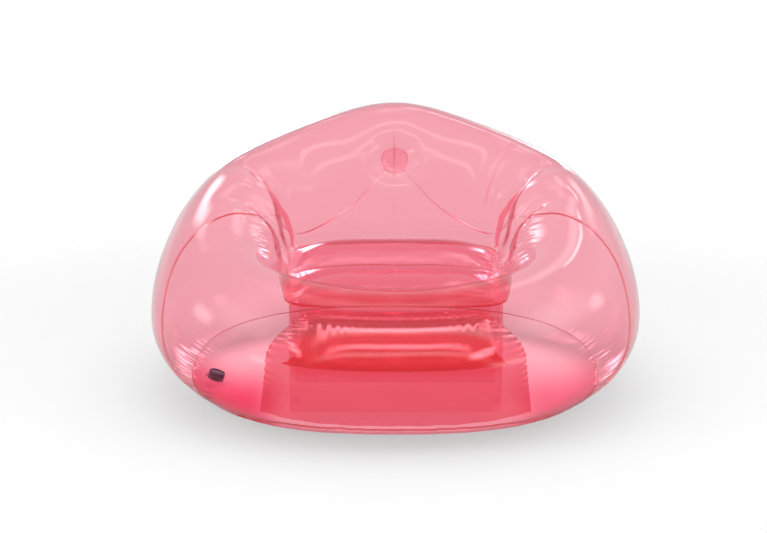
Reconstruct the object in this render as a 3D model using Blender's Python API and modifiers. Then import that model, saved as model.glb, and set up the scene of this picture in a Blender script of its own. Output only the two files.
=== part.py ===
"""Inflatable bean bag chair of clear tinted film, with a two-part plug valve.

Metres, +Z up. The chair faces -Y and its origin is on the floor, under the middle of its width and
depth. Four film panels make the outer body and a fifth makes the seat, and each is turned in along
its weld as a narrow fin. Flat webs, an inner front sheet and a tie strap hold the shape from inside.
"""

import math

import bmesh
import bpy
import numpy as np
from mathutils import Matrix

# Film and welds
FILM = 0.0004
GAP = 0.0003
FIN_DEPTH = 0.005

# Outer body: half widths at the sides, reach to the front and back, and heights
BODY_HALF_WIDTH = 0.685
BODY_FRONT = 0.635
BODY_BACK = 0.635
BODY_POWER = 2.25
WIDEST_HEIGHT_FRONT = 0.200
WIDEST_HEIGHT_SIDE = 0.225
WIDEST_HEIGHT_BACK = 0.280
CREST_HALF_WIDTH = 0.472
CREST_FRONT = 0.440
CREST_BACK = 0.400
CREST_POWER = 2.6
CREST_HEIGHT_FRONT = 0.378
CREST_HEIGHT_SIDE = 0.535
CREST_HEIGHT_BACK = 0.745
SHOULDER_DROP = 0.028
FLOOR_HALF_WIDTH = 0.410
FLOOR_FRONT = 0.430
FLOOR_BACK = 0.400
FLOOR_POWER = 3.0

# Well: the bulge of the inner wall, and the seat's outline
BULGE_HALF_WIDTH = 0.318
BULGE_FRONT = 0.362
BULGE_BACK = 0.250
BULGE_POWER = 4.5
BULGE_HEIGHT_FRONT = 0.340
BULGE_HEIGHT_SIDE = 0.385
BULGE_HEIGHT_BACK = 0.550
SEAT_HALF_WIDTH = 0.305
SEAT_FRONT = 0.345
SEAT_BACK = 0.280
SEAT_POWER = 7.0
SEAT_EDGE_HEIGHT_FRONT = 0.310
SEAT_EDGE_HEIGHT_SIDE = 0.318
SEAT_EDGE_HEIGHT_BACK = 0.338

# Folds pressed into the inner wall where the back turns into the arms
MAIN_FOLD_DEPTH = 0.042
MAIN_FOLD_REACH = 0.046
SIDE_FOLD_DEPTH = 0.026
SIDE_FOLD_REACH = 0.038
MAIN_FOLD_DEGREES = (112.0, 124.0)
SIDE_FOLD_DEGREES = (89.0, 100.0)
FOLD_START_SHARE = 1.85
FOLD_RAMP_SHARE = 0.75

# Places on a section, from the floor over the crest to the seat
FLOOR_PLACE = 0
CREST_PLACE = 2
BULGE_PLACE = 3
SEAT_PLACE = 4
BASE_SEAM_SHARE = 0.42
SIDE_SEAM_SHARES = (
    (58.0, BASE_SEAM_SHARE),
    (60.0, 0.60),
    (62.0, 0.85),
    (65.0, 1.20),
    (69.0, 1.45),
    (79.0, 2.00),
    (84.0, 2.35),
    (98.0, 2.70),
    (118.0, 3.10),
    (129.0, 3.72),
    (149.0, 3.46),
    (165.0, 3.12),
)
SIDE_SEAM_CREST_KNOT = 5
SIDE_SEAM_LOW_KNOT = 9

# Button in the backrest and the strap that draws it in
BUTTON_SHARE = 2.86
BUTTON_RADIUS = 0.040
BUTTON_FLAT_RADIUS = 0.027
BUTTON_DISH = 0.006
BUTTON_FILM = 0.0008
BUTTON_RIM_RELIEF = 0.0003
BUTTON_SEAM_DEGREES = 321.0
DIMPLE_DEPTH = 0.046
DIMPLE_REACH = 0.062
STRAP_WIDTH = 0.044

# Seat: the lines of the webs below it, its tubes and its valleys
FRONT_WEB_Y = -0.300
MID_WEB_Y = -0.050
REAR_WEB_Y = 0.215
FRONT_VALLEY_HEIGHT = 0.335
MIDDLE_VALLEY_HEIGHT = 0.346
REAR_VALLEY_HEIGHT = 0.350
FRONT_TUBE_RISE = 0.026
REAR_TUBE_RISE = 0.036
SEAT_EDGE_POWER = 4.5
TUBE_POWER = 0.75
SEAT_CORNER_HALF_WIDTH = 0.260
SEAT_COLUMN_SHARES = (0.0, 0.17, 0.34, 0.50, 0.66, 0.82, 0.96, 1.0)
WEB_HOLE_RADIUS = 0.030
WEB_HOLE_SIDES = 16
WEB_HOLE_SHARES = (-0.55, 0.0, 0.55)
WEB_HOLE_HEIGHT_SHARE = 0.5
WEB_FOOT_HALF_WIDTH = 0.285

# Inner front sheet, the roll behind its top and the welded dots on the front web
SHEET_TOP_HEIGHT = 0.286
SHEET_TOP_HALF_WIDTH = 0.250
SHEET_WAIST_HEIGHT = 0.140
SHEET_FOOT_HALF_WIDTH = 0.365
SHEET_FOOT_FRONT = 0.408
SHEET_PLAN_HALF_WIDTH = 0.445
SHEET_PLAN_POWER = 2.6
SHEET_FLARE_POWER = 2.2
ROLL_TOP_HEIGHT = 0.262
ROLL_TOP_HALF_WIDTH = 0.228
ROLL_SAG = 0.030
DOT_RADIUS = 0.009
DOT_SIDES = 12
DOT_INSET = 0.018
DOT_UPPER_HEIGHT = 0.256
DOT_LOWER_HEIGHT = 0.032

# Valve, in its own frame: heights run inwards from the outer face of the film
VALVE_BORE_RADIUS = 0.0223
VALVE_HOLE_RUN = 0.010
VALVE_FLANGE_RADIUS = 0.031
VALVE_FLANGE_THICKNESS = 0.0012
VALVE_COLLAR_WALL = 0.0020
VALVE_COLLAR_HEIGHT = 0.0140
INSERT_WALL = 0.0025
INSERT_RIM_WIDTH = 0.0030
INSERT_RIM_THICKNESS = 0.0020
INSERT_TOP = 0.0170
INSERT_LIP_WIDTH = 0.0050
INSERT_LIP_THICKNESS = 0.0020
INSERT_LIP_DROP = 0.0030
FLAP_OVERLAP = 0.0025
FLAP_THICKNESS = 0.0008
FLAP_SIDES = 24
CAP_RADIUS = 0.0235
CAP_THICKNESS = 0.0028
CAP_PLUG_DEPTH = 0.0100
CAP_PLUG_WALL = 0.0025
CAP_TAB_REACH = 0.0060
CAP_TAB_WIDTH = 0.0120
CAP_TAB_THICKNESS = 0.0018
TETHER_THICKNESS = 0.0010
TETHER_WIDTH = 0.0060
TETHER_REACH = 0.0045
TURNED_STEPS = 32

# Cells along each stretch of a panel
BASE_SEAM_CELLS = 8
LOWER_SEAM_CELLS = 9
ARM_SEAM_CELLS = 5
BACK_SEAM_CELLS = 4
BUTTON_ARC_CELLS = 4
REAR_PANEL_CELLS = 12
FRONT_PANEL_ROWS = 12
SEAT_TUBE_CELLS = 7
SHEET_COLUMNS = 16
SHEET_ROLL_ROWS = 5
SHEET_SKIRT_ROWS = 3
ROLL_ROWS = 4
ROLL_END_COLUMNS = 1
FLOOR_RING_SHARES = (0.66, 0.33)
VALVE_CELL_SHARES = (0.37, 0.13)
VALVE_COLUMN_CELLS = 2
PATH_SAMPLES = 24
STEP = 1e-4

# Colours of the materials
FILM_COLOUR = (0.86, 0.33, 0.43, 0.5)
INNER_FILM_COLOUR = (0.80, 0.16, 0.24, 0.5)
CLEAR_COLOUR = (0.85, 0.62, 0.68, 0.6)
VALVE_COLOUR = (0.06, 0.03, 0.14, 1.0)
FLAP_COLOUR = (0.70, 0.72, 0.75, 0.9)
FILM_ROUGHNESS = 0.08
MOULDED_ROUGHNESS = 0.35


def unit(vectors):
    return vectors / np.linalg.norm(vectors, axis=-1, keepdims=True)


def ring_radius(angle, half_width, front, back, power):
    """Distance from the middle to a rounded oblong, at an angle from the front."""
    reach = np.where(np.cos(angle) > 0, front, back)
    across = np.abs(np.sin(angle) / half_width) ** power
    along = np.abs(np.cos(angle) / reach) ** power
    return (across + along) ** (-1 / power)


def around(angle, front, side, back):
    """A value that passes smoothly through its front, side and back values."""
    middle = (front + back) / 2
    tilt = (front - back) / 2 * np.cos(angle)
    return (middle + side) / 2 + tilt + (middle - side) / 2 * np.cos(2 * angle)


def shoulder_drop(angle):
    """How far the crest lies lower between the sides and the back, so that the back comes to a peak."""
    return SHOULDER_DROP * (1 - np.cos(4 * angle)) / 2 * (1 - np.cos(angle)) / 2


def section_point(angle, place):
    """Point of the smooth body: quarter arcs up to the crest and down past it, then a bend to the seat."""
    widest = ring_radius(angle, BODY_HALF_WIDTH, BODY_FRONT, BODY_BACK, BODY_POWER)
    crest = ring_radius(angle, CREST_HALF_WIDTH, CREST_FRONT, CREST_BACK, CREST_POWER)
    floor = ring_radius(angle, FLOOR_HALF_WIDTH, FLOOR_FRONT, FLOOR_BACK, FLOOR_POWER)
    bulge = ring_radius(angle, BULGE_HALF_WIDTH, BULGE_FRONT, BULGE_BACK, BULGE_POWER)
    seat = ring_radius(angle, SEAT_HALF_WIDTH, SEAT_FRONT, SEAT_BACK, SEAT_POWER)
    widest_z = around(angle, WIDEST_HEIGHT_FRONT, WIDEST_HEIGHT_SIDE, WIDEST_HEIGHT_BACK)
    crest_z = around(angle, CREST_HEIGHT_FRONT, CREST_HEIGHT_SIDE, CREST_HEIGHT_BACK)
    crest_z = crest_z - shoulder_drop(angle)
    bulge_z = around(angle, BULGE_HEIGHT_FRONT, BULGE_HEIGHT_SIDE, BULGE_HEIGHT_BACK)
    seat_z = around(angle, SEAT_EDGE_HEIGHT_FRONT, SEAT_EDGE_HEIGHT_SIDE, SEAT_EDGE_HEIGHT_BACK)
    quarter = np.clip(np.floor(place), FLOOR_PLACE, BULGE_PLACE)
    share = place - quarter
    sine, cosine = np.sin(share * math.pi / 2), np.cos(share * math.pi / 2)
    radius = np.choose(
        quarter.astype(int),
        [
            floor + (widest - floor) * sine,
            crest + (widest - crest) * cosine,
            bulge + (crest - bulge) * (1 - sine),
            bulge + (seat - bulge) * share**2,
        ],
    )
    height = np.choose(
        quarter.astype(int),
        [
            widest_z * (1 - cosine),
            widest_z + (crest_z - widest_z) * sine,
            bulge_z + (crest_z - bulge_z) * cosine,
            bulge_z + (seat_z - bulge_z) * share,
        ],
    )
    return np.stack([radius * np.sin(angle), -radius * np.cos(angle), height], axis=-1)


def outward(surface, angle, place):
    """Unit normal of a surface of angle and place, away from the air inside."""
    along = surface(angle + STEP, place) - surface(angle - STEP, place)
    low = np.clip(place - STEP, FLOOR_PLACE, SEAT_PLACE)
    high = np.clip(place + STEP, FLOOR_PLACE, SEAT_PLACE)
    return unit(np.cross(along, surface(angle, high) - surface(angle, low)))


def fold_depth(angle, place, degrees, depth, reach):
    """Depth of a groove that begins near the crest, deepens and fades out again at the seat."""
    run = np.clip((place - CREST_PLACE) / (SEAT_PLACE - CREST_PLACE), 0, 1)
    line = np.radians(degrees[0] + (degrees[1] - degrees[0]) * run)
    radius = np.linalg.norm(section_point(angle, place)[..., :2], axis=-1)
    aside = (np.abs(angle) - line) * radius
    fade = np.clip((place - FOLD_START_SHARE) / FOLD_RAMP_SHARE, 0, 1)
    fade = fade * np.clip((SEAT_PLACE - place) * 2, 0, 1)
    return depth * fade * np.exp(-((aside / reach) ** 2))


def skin(angle, place):
    """Point of the inflated body with its folds and the dimple round the button."""
    angle, place = np.asarray(angle, float), np.asarray(place, float)
    points = section_point(angle, place)
    fold = fold_depth(angle, place, MAIN_FOLD_DEGREES, MAIN_FOLD_DEPTH, MAIN_FOLD_REACH)
    fold = fold + fold_depth(angle, place, SIDE_FOLD_DEGREES, SIDE_FOLD_DEPTH, SIDE_FOLD_REACH)
    points = points - outward(section_point, angle, place) * fold[..., None]
    middle = section_point(np.array(math.pi), np.array(BUTTON_SHARE))
    axis = outward(section_point, np.array(math.pi), np.array(BUTTON_SHARE))
    away = np.linalg.norm(points - middle, axis=-1)
    return points - axis * (DIMPLE_DEPTH * np.exp(-((away / DIMPLE_REACH) ** 2)))[..., None]


def skin_normal(angle, place):
    return outward(skin, np.asarray(angle, float), np.asarray(place, float))


def even_walk(angles, places, cells):
    """Angles and places at even lengths along a path on the skin."""
    share = np.linspace(0, 1, len(angles))
    fine = np.linspace(0, 1, (len(angles) - 1) * PATH_SAMPLES + 1)
    angle, place = np.interp(fine, share, angles), np.interp(fine, share, places)
    steps = np.linalg.norm(np.diff(skin(angle, place), axis=0), axis=-1)
    length = np.concatenate([[0.0], np.cumsum(steps)])
    even = np.linspace(0, length[-1], cells + 1)
    return np.interp(even, length, angle), np.interp(even, length, place)


def smooth_knots(knots):
    """A curve through the knots with a smooth tangent at each, as angles in radians and places."""
    knots = np.array(knots)
    tangents = np.gradient(knots, axis=0)
    run = np.linspace(0, 1, PATH_SAMPLES, endpoint=False)[:, None]
    rows = []
    for index in range(len(knots) - 1):
        start, end = knots[index], knots[index + 1]
        rows.append(
            start
            + tangents[index] * run
            + (3 * (end - start) - 2 * tangents[index] - tangents[index + 1]) * run**2
            + (2 * (start - end) + tangents[index] + tangents[index + 1]) * run**3
        )
    rows.append(knots[-1:])
    curve = np.concatenate(rows)
    return np.radians(curve[:, 0]), curve[:, 1]


def side_seam():
    """The right-hand seam from the base seam over the arm to beside the button."""
    angle, place = smooth_knots(SIDE_SEAM_SHARES)
    crest, low = SIDE_SEAM_CREST_KNOT * PATH_SAMPLES, SIDE_SEAM_LOW_KNOT * PATH_SAMPLES
    parts = [
        even_walk(angle[: crest + 1], place[: crest + 1], LOWER_SEAM_CELLS),
        even_walk(angle[crest : low + 1], place[crest : low + 1], ARM_SEAM_CELLS),
        even_walk(angle[low:], place[low:], BACK_SEAM_CELLS - 1),
    ]
    angles = np.concatenate([parts[0][0], parts[1][0][1:], parts[2][0][1:]])
    places = np.concatenate([parts[0][1], parts[1][1][1:], parts[2][1][1:]])
    return angles, places


def button_frame():
    """Middle of the button's rim, its axis out of the backrest, and its right and up directions."""
    middle = section_point(np.array(math.pi), np.array(BUTTON_SHARE))
    axis = outward(section_point, np.array(math.pi), np.array(BUTTON_SHARE))
    sunk = DIMPLE_DEPTH * math.exp(-((BUTTON_RADIUS / DIMPLE_REACH) ** 2))
    right = np.array([1.0, 0.0, 0.0])
    return middle - axis * sunk, axis, right, unit(np.cross(axis, right))


def button_rim(degrees):
    """Points of the rim at angles from its right-hand side, and the normal there."""
    middle, axis, right, up = button_frame()
    turn = np.radians(degrees)[:, None]
    points = middle + BUTTON_RADIUS * (np.cos(turn) * right + np.sin(turn) * up)
    return points, np.broadcast_to(axis, points.shape)


def seat_rows():
    """Depths of the seat's rows between its front and back edges."""
    front = np.linspace(FRONT_WEB_Y, MID_WEB_Y, SEAT_TUBE_CELLS + 1)
    rear = np.linspace(MID_WEB_Y, REAR_WEB_Y, SEAT_TUBE_CELLS + 1)
    return np.concatenate([front, rear[1:]])


def oblong_share(share):
    """The other share of a rounded oblong, for one share of its half width or reach."""
    return (1 - np.abs(share) ** SEAT_POWER) ** (1 / SEAT_POWER)


def seat_grid():
    """Points of the seat's upper face: rows across, straight over each web, tubes between."""
    columns = np.array(SEAT_COLUMN_SHARES)
    columns = np.concatenate([-columns[:0:-1], columns])
    edge = columns * SEAT_CORNER_HALF_WIDTH
    depths = seat_rows()
    reach = np.where(depths < 0, SEAT_FRONT, SEAT_BACK)
    half = SEAT_HALF_WIDTH * oblong_share(depths / reach)
    x = np.vstack([edge, half[:, None] * columns, edge])
    rounded = oblong_share(edge / SEAT_HALF_WIDTH)
    level = np.broadcast_to(depths[:, None], (len(depths), len(columns)))
    y = np.vstack([-SEAT_FRONT * rounded, level, SEAT_BACK * rounded])
    tube_run = np.linspace(0, 1, SEAT_TUBE_CELLS + 1)
    run = np.concatenate([tube_run, tube_run[1:]])
    front = depths <= MID_WEB_Y
    start = np.where(front, FRONT_VALLEY_HEIGHT, MIDDLE_VALLEY_HEIGHT)
    end = np.where(front, MIDDLE_VALLEY_HEIGHT, REAR_VALLEY_HEIGHT)
    rise = np.where(front, FRONT_TUBE_RISE, REAR_TUBE_RISE)
    crown = start + (end - start) * run + rise * np.clip(np.sin(math.pi * run), 0, 1) ** TUBE_POWER
    angle = np.arctan2(x, -y)
    low = around(angle, SEAT_EDGE_HEIGHT_FRONT, SEAT_EDGE_HEIGHT_SIDE, SEAT_EDGE_HEIGHT_BACK)
    lift = (1 - np.abs(columns) ** SEAT_EDGE_POWER)[None, :]
    z = low.copy()
    z[1:-1] += (crown[:, None] - low[1:-1]) * lift
    return np.stack([x, y, z], axis=-1)


def seat_loop(grid):
    """Edge of the seat from its front middle round by the right to its back middle."""
    middle = grid.shape[1] // 2
    return np.concatenate([grid[0, middle:], grid[1:, -1], grid[-1, middle:-1][::-1]])


def emptied_collections():
    """The chair's collection and the one for its cutters, in an emptied scene."""
    for item in list(bpy.data.objects):
        bpy.data.objects.remove(item, do_unlink=True)
    found = []
    for name in ("inflatable_bean_bag_chair", "cutters"):
        group = bpy.data.collections.new(name)
        bpy.context.scene.collection.children.link(group)
        found.append(group)
    return found


def material(name, colour, roughness):
    made = bpy.data.materials.new(name)
    made.use_nodes = True
    shader = made.node_tree.nodes["Principled BSDF"]
    shader.inputs["Base Color"].default_value = colour
    shader.inputs["Alpha"].default_value = colour[3]
    shader.inputs["Roughness"].default_value = roughness
    shader.inputs["Metallic"].default_value = 0
    return made


def add_object(name, data, group, colour, roughness):
    made = bpy.data.objects.new(name, data)
    group.objects.link(made)
    data.materials.append(material(name, colour, roughness))
    return made


def add_film(name, points, faces, group, colour):
    """An open surface facing out, given its film's thickness inwards."""
    mesh = bpy.data.meshes.new(name)
    mesh.from_pydata(np.asarray(points).tolist(), [], faces)
    mesh.shade_smooth()
    made = add_object(name, mesh, group, colour, FILM_ROUGHNESS)
    wall = made.modifiers.new("film", "SOLIDIFY")
    wall.thickness = FILM
    wall.offset = -1
    wall.use_even_offset = True
    return made


def cell_faces(points, a, b, c, d):
    """Two triangles of a cell, parted along its shorter diagonal."""
    if np.linalg.norm(points[a] - points[c]) <= np.linalg.norm(points[b] - points[d]):
        return [(a, b, c), (a, c, d)]
    return [(a, b, d), (b, c, d)]


def grid_faces(grid, closed=False):
    """Triangles of a grid whose columns run to the right and rows upwards, seen from outside."""
    rows, columns = grid.shape[:2]
    points = grid.reshape(-1, 3)
    faces = []
    for row in range(rows - 1):
        for column in range(columns if closed else columns - 1):
            beside = (column + 1) % columns
            a, b = row * columns + column, row * columns + beside
            faces += cell_faces(points, a, b, b + columns, a + columns)
    return faces


def grid_loop(rows, columns):
    """Edge of an open grid, with the grid on its left."""
    index = np.arange(rows * columns).reshape(rows, columns)
    return np.concatenate([index[0, :-1], index[:-1, -1], index[-1, :0:-1], index[:0:-1, 0]])


def with_fins(points, normals, faces, loops):
    """Set each edge back by half the gap and turn it in along its normal as a fin.

    A loop runs with the panel on its left, seen from outside. Panels that meet share the edge's
    points and normals, and each cell of the fin is parted the same way, so the fins lie parallel.
    """
    order = np.array([3.0, 5.0, 7.0])
    sheet = points.copy()
    fins, faces = [], list(faces)
    for loop in loops:
        edge, normal = points[loop], normals[loop]
        before = unit(edge - np.roll(edge, 1, axis=0))
        after = unit(np.roll(edge, -1, axis=0) - edge)
        inner_before, inner_after = unit(np.cross(normal, before)), unit(np.cross(normal, after))
        spread = 1 + np.sum(inner_before * inner_after, axis=-1, keepdims=True)
        sheet[loop] = edge + (inner_before + inner_after) / spread * GAP / 2
        first = len(points) + sum(len(fin) for fin in fins)
        fins.append(sheet[loop] - normal * FIN_DEPTH)
        for index, a in enumerate(loop):
            beside = (index + 1) % len(loop)
            a, b = int(a), int(loop[beside])
            low_a, low_b = first + index, first + beside
            if points[a] @ order > points[b] @ order:
                faces += [(b, a, low_b), (a, low_a, low_b)]
            else:
                faces += [(b, a, low_a), (b, low_a, low_b)]
    return np.concatenate([sheet, *fins]), faces


def mirrored(points):
    return points * np.array([-1.0, 1.0, 1.0])


def rim_place(degrees):
    """Angle and place on the smooth body near a point of the button's rim."""
    middle, _, _, _ = button_frame()
    points, _ = button_rim(np.atleast_1d(degrees))
    angle = math.pi - np.arctan2(points[:, 0], middle[1])
    slope = section_point(np.array(math.pi), np.array(BUTTON_SHARE + STEP)) - section_point(
        np.array(math.pi), np.array(BUTTON_SHARE - STEP)
    )
    return angle, BUTTON_SHARE + (points[:, 2] - middle[2]) / slope[2] * 2 * STEP


def front_panel_grid(loop):
    """Columns from the outer seams in to the seat's edge, and the normals at their ends."""
    seam_angle, seam_place = side_seam()
    base_angle = np.linspace(0, seam_angle[0], BASE_SEAM_CELLS + 1)[:-1]
    arc_degrees = np.linspace(BUTTON_SEAM_DEGREES - 360, -90, BUTTON_ARC_CELLS + 1)
    arc_angle, arc_place = rim_place(arc_degrees)
    arc, arc_normal = button_rim(arc_degrees)
    outer_angle = np.concatenate([base_angle, seam_angle, arc_angle])
    outer_place = np.concatenate([np.full(BASE_SEAM_CELLS, BASE_SEAM_SHARE), seam_place, arc_place])
    outer_normal = skin_normal(outer_angle, outer_place)
    outer_normal[-len(arc) :] = arc_normal
    inner_angle = np.arctan2(loop[:, 0], -loop[:, 1])
    columns = []
    for start, angle, place in zip(inner_angle, outer_angle, outer_place):
        walked = even_walk([angle, start], [place, SEAT_PLACE], FRONT_PANEL_ROWS)
        columns.append(skin(*walked))
    half = np.stack(columns, axis=1)
    half[0, -len(arc) :] = arc
    grid = np.concatenate([half, mirrored(half[:, -2:0:-1])], axis=1)
    normal = np.concatenate([outer_normal, mirrored(outer_normal[-2:0:-1])])
    return grid, normal


def add_front_panel(group, loop):
    """Backrest below the button, inner arms, front rim and front apron, round the well."""
    grid, outer_normal = front_panel_grid(loop)
    rows, columns = grid.shape[:2]
    normals = np.zeros_like(grid)
    normals[0], normals[-1] = outer_normal, (0, 0, 1)
    outer = np.arange(columns)
    inner = (np.arange(columns) + (rows - 1) * columns)[::-1]
    points, faces = with_fins(
        grid.reshape(-1, 3), normals.reshape(-1, 3), grid_faces(grid, closed=True), [outer, inner]
    )
    return add_film("front_panel", points, faces, group, FILM_COLOUR)


def centre_seam():
    """Angles and places down the middle of the back, from the base seam to above the button."""
    outer = even_walk([math.pi, math.pi], [BASE_SEAM_SHARE, CREST_PLACE], LOWER_SEAM_CELLS)
    _, top = rim_place(90.0)
    inner = np.linspace(CREST_PLACE, top[0], ARM_SEAM_CELLS + BACK_SEAM_CELLS + 1)[1:]
    places = np.concatenate([outer[1], inner])
    return np.full(len(places), math.pi), places


def rear_panel_grid():
    """Rows from the base seam to the button, each from the side seam round to the centre seam."""
    centre_angle, centre_place = centre_seam()
    seam_angle, seam_place = side_seam()
    rim_angle, rim_seam_place = rim_place(BUTTON_SEAM_DEGREES)
    seam_angle = np.append(seam_angle, rim_angle)
    seam_place = np.append(seam_place, rim_seam_place)
    run = np.linspace(0, 1, REAR_PANEL_CELLS + 1)[None, :]
    rim_width = math.pi - rim_place(0.0)[0][0]
    rim_height = BUTTON_SHARE - rim_place(90.0)[1][0]
    straight = [
        seam_angle[:, None] + (centre_angle - seam_angle)[:, None] * run,
        seam_place[:, None] + (centre_place - seam_place)[:, None] * run,
    ]
    right = (math.pi - seam_angle) / rim_width
    above = (BUTTON_SHARE - seam_place) / rim_height
    reach = np.hypot(right, above)[:, None]
    turn = np.arctan2(above, right)[:, None]
    centre_reach = ((BUTTON_SHARE - centre_place) / rim_height)[:, None]
    reach = reach + (centre_reach - reach) * run
    turn = turn + (math.pi / 2 - turn) * run
    fanned = [math.pi - reach * np.cos(turn) * rim_width, BUTTON_SHARE - reach * np.sin(turn) * rim_height]
    rows = np.arange(len(seam_angle))
    blend = np.clip((rows - LOWER_SEAM_CELLS) / (rows[-1] - LOWER_SEAM_CELLS), 0, 1)[:, None]
    angle = straight[0] + (fanned[0] - straight[0]) * blend
    place = straight[1] + (fanned[1] - straight[1]) * blend
    grid, normal = skin(angle, place), skin_normal(angle, place)
    sweep = BUTTON_SEAM_DEGREES - 360
    grid[-1], normal[-1] = button_rim(sweep + (90 - sweep) * run[0])
    return grid, normal


def add_rear_panel(name, group, left):
    """One side of the back: its outer face, its crest and the backrest above the diagonal seam."""
    grid, normal = rear_panel_grid()
    if left:
        grid, normal = mirrored(grid[:, ::-1]), mirrored(normal[:, ::-1])
    points, faces = with_fins(
        grid.reshape(-1, 3), normal.reshape(-1, 3), grid_faces(grid), [grid_loop(*grid.shape[:2])]
    )
    return add_film(name, points, faces, group, FILM_COLOUR)


def base_angles():
    """Angles of the base seam's corners, the same as those of the panels above it."""
    corner = math.radians(SIDE_SEAM_SHARES[0][0])
    front = np.linspace(0, corner, BASE_SEAM_CELLS + 1)
    rear = np.linspace(corner, math.pi, REAR_PANEL_CELLS + 1)
    right = np.concatenate([front, rear[1:]])
    return np.concatenate([right, -right[-2:0:-1]])


def valve_cell(grid):
    """Row and columns of the base panel's cell that carries the valve, on the left."""
    column = grid.shape[1] - round(BASE_SEAM_CELLS + VALVE_COLUMN_CELLS + 1)
    row = len(FLOOR_RING_SHARES) + 1
    return row, column


def base_grid():
    """Rings of the base panel from the middle out, with the valve's cell made flat."""
    angle = base_angles()
    foot = skin(angle, np.zeros_like(angle))
    rings = [foot * share for share in sorted(FLOOR_RING_SHARES)]
    rings.append(foot)
    for place in (*sorted(VALVE_CELL_SHARES), BASE_SEAM_SHARE):
        rings.append(skin(angle, np.full_like(angle, place)))
    grid = np.stack(rings)
    row, column = valve_cell(grid)
    a, b, c = grid[row, column], grid[row, column + 1], grid[row + 1, column]
    normal = np.cross(b - a, c - a)
    last = grid[row + 1, column + 1]
    last[2] = a[2] - ((last - a)[:2] @ normal[:2]) / normal[2]
    return grid


def valve_frame():
    """Matrix of the valve: origin on the film's outer face, Z inwards, X level and Y up the slope."""
    grid = base_grid()
    row, column = valve_cell(grid)
    cell = grid[row : row + 2, column : column + 2].reshape(4, 3)
    inwards = unit(np.cross(cell[1] - cell[0], cell[2] - cell[0]))
    inwards = inwards * np.sign(inwards[2])
    level = unit(np.array([-inwards[1], inwards[0], 0.0]))
    uphill = np.cross(inwards, level)
    frame = np.eye(4)
    frame[:3] = np.stack([level, uphill, inwards, cell.mean(axis=0)], axis=-1)
    return Matrix(frame.tolist())


def add_base_panel(group, cutters):
    """Floor of the chair and the rim that curves up to the base seam, with the valve's hole."""
    grid = base_grid()
    rows, columns = grid.shape[:2]
    angle = base_angles()
    normals = np.zeros_like(grid)
    normals[-1] = skin_normal(angle, np.full_like(angle, BASE_SEAM_SHARE))
    edge = (np.arange(columns) + (rows - 1) * columns)[::-1]
    points, faces = with_fins(
        grid.reshape(-1, 3), normals.reshape(-1, 3), grid_faces(grid, closed=True), [edge]
    )
    middle = len(points)
    points = np.vstack([points, np.zeros(3)])
    faces += [(middle, (index + 1) % columns, index) for index in range(columns)]
    made = add_film("base_panel", points, faces, group, FILM_COLOUR)
    radius = VALVE_BORE_RADIUS + INSERT_RIM_WIDTH + GAP
    cutter = add_cylinder("valve_hole", radius, VALVE_HOLE_RUN, TURNED_STEPS, cutters, CLEAR_COLOUR)
    cutter.matrix_world = valve_frame()
    cut_by(made, cutter, "DIFFERENCE")
    return made


def cut_by(body, other, operation):
    other.hide_render = True
    other.display_type = "WIRE"
    cut = body.modifiers.new(other.name, "BOOLEAN")
    cut.operation = operation
    cut.object = other


def add_cylinder(name, radius, height, sides, group, colour):
    """A cylinder along Z round its own middle."""
    mesh = bpy.data.meshes.new(name)
    made = bmesh.new()
    bmesh.ops.create_cone(
        made, cap_ends=True, segments=sides, radius1=radius, radius2=radius, depth=height
    )
    made.to_mesh(mesh)
    made.free()
    return add_object(name, mesh, group, colour, MOULDED_ROUGHNESS)


def add_seat_panel(group, grid):
    """Top of the seat: two tubes side by side, with a fin down all round."""
    normals = np.broadcast_to((0.0, 0.0, 1.0), grid.shape).reshape(-1, 3)
    points, faces = with_fins(
        grid.reshape(-1, 3), normals, grid_faces(grid), [grid_loop(*grid.shape[:2])]
    )
    return add_film("seat_panel", points, faces, group, INNER_FILM_COLOUR)


def add_flat_film(name, outline, holes, group, colour):
    """A flat film from closed outlines in its own X and Y."""
    curve = bpy.data.curves.new(name, "CURVE")
    curve.dimensions = "2D"
    curve.fill_mode = "BOTH"
    curve.extrude = FILM / 2
    for points in (outline, *holes):
        line = curve.splines.new("POLY")
        line.points.add(len(points) - 1)
        for point, (x, y) in zip(line.points, points):
            point.co = (x, y, 0, 1)
        line.use_cyclic_u = True
    return add_object(name, curve, group, colour, FILM_ROUGHNESS)


def circle(middle, radius, sides):
    turn = np.linspace(0, 2 * math.pi, sides, endpoint=False)
    return np.stack([middle[0] + radius * np.cos(turn), middle[1] + radius * np.sin(turn)], axis=-1)


def add_web(name, grid, row, group):
    """An upright film from the floor to one valley of the seat, with round holes for the air."""
    top = grid[row, 1:-1]
    under = top[:, 2] - FILM - 2 * GAP
    foot = FILM + GAP
    outline = [(-WEB_FOOT_HALF_WIDTH, foot), (WEB_FOOT_HALF_WIDTH, foot)]
    outline += list(zip(top[::-1, 0], under[::-1]))
    height = foot + (under.max() - foot) * WEB_HOLE_HEIGHT_SHARE
    holes = [
        circle((share * WEB_FOOT_HALF_WIDTH, height), WEB_HOLE_RADIUS, WEB_HOLE_SIDES)
        for share in WEB_HOLE_SHARES
    ]
    made = add_flat_film(name, outline, holes, group, INNER_FILM_COLOUR)
    made.location.y = top[0, 1]
    made.rotation_euler.x = math.pi / 2
    return made


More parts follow.
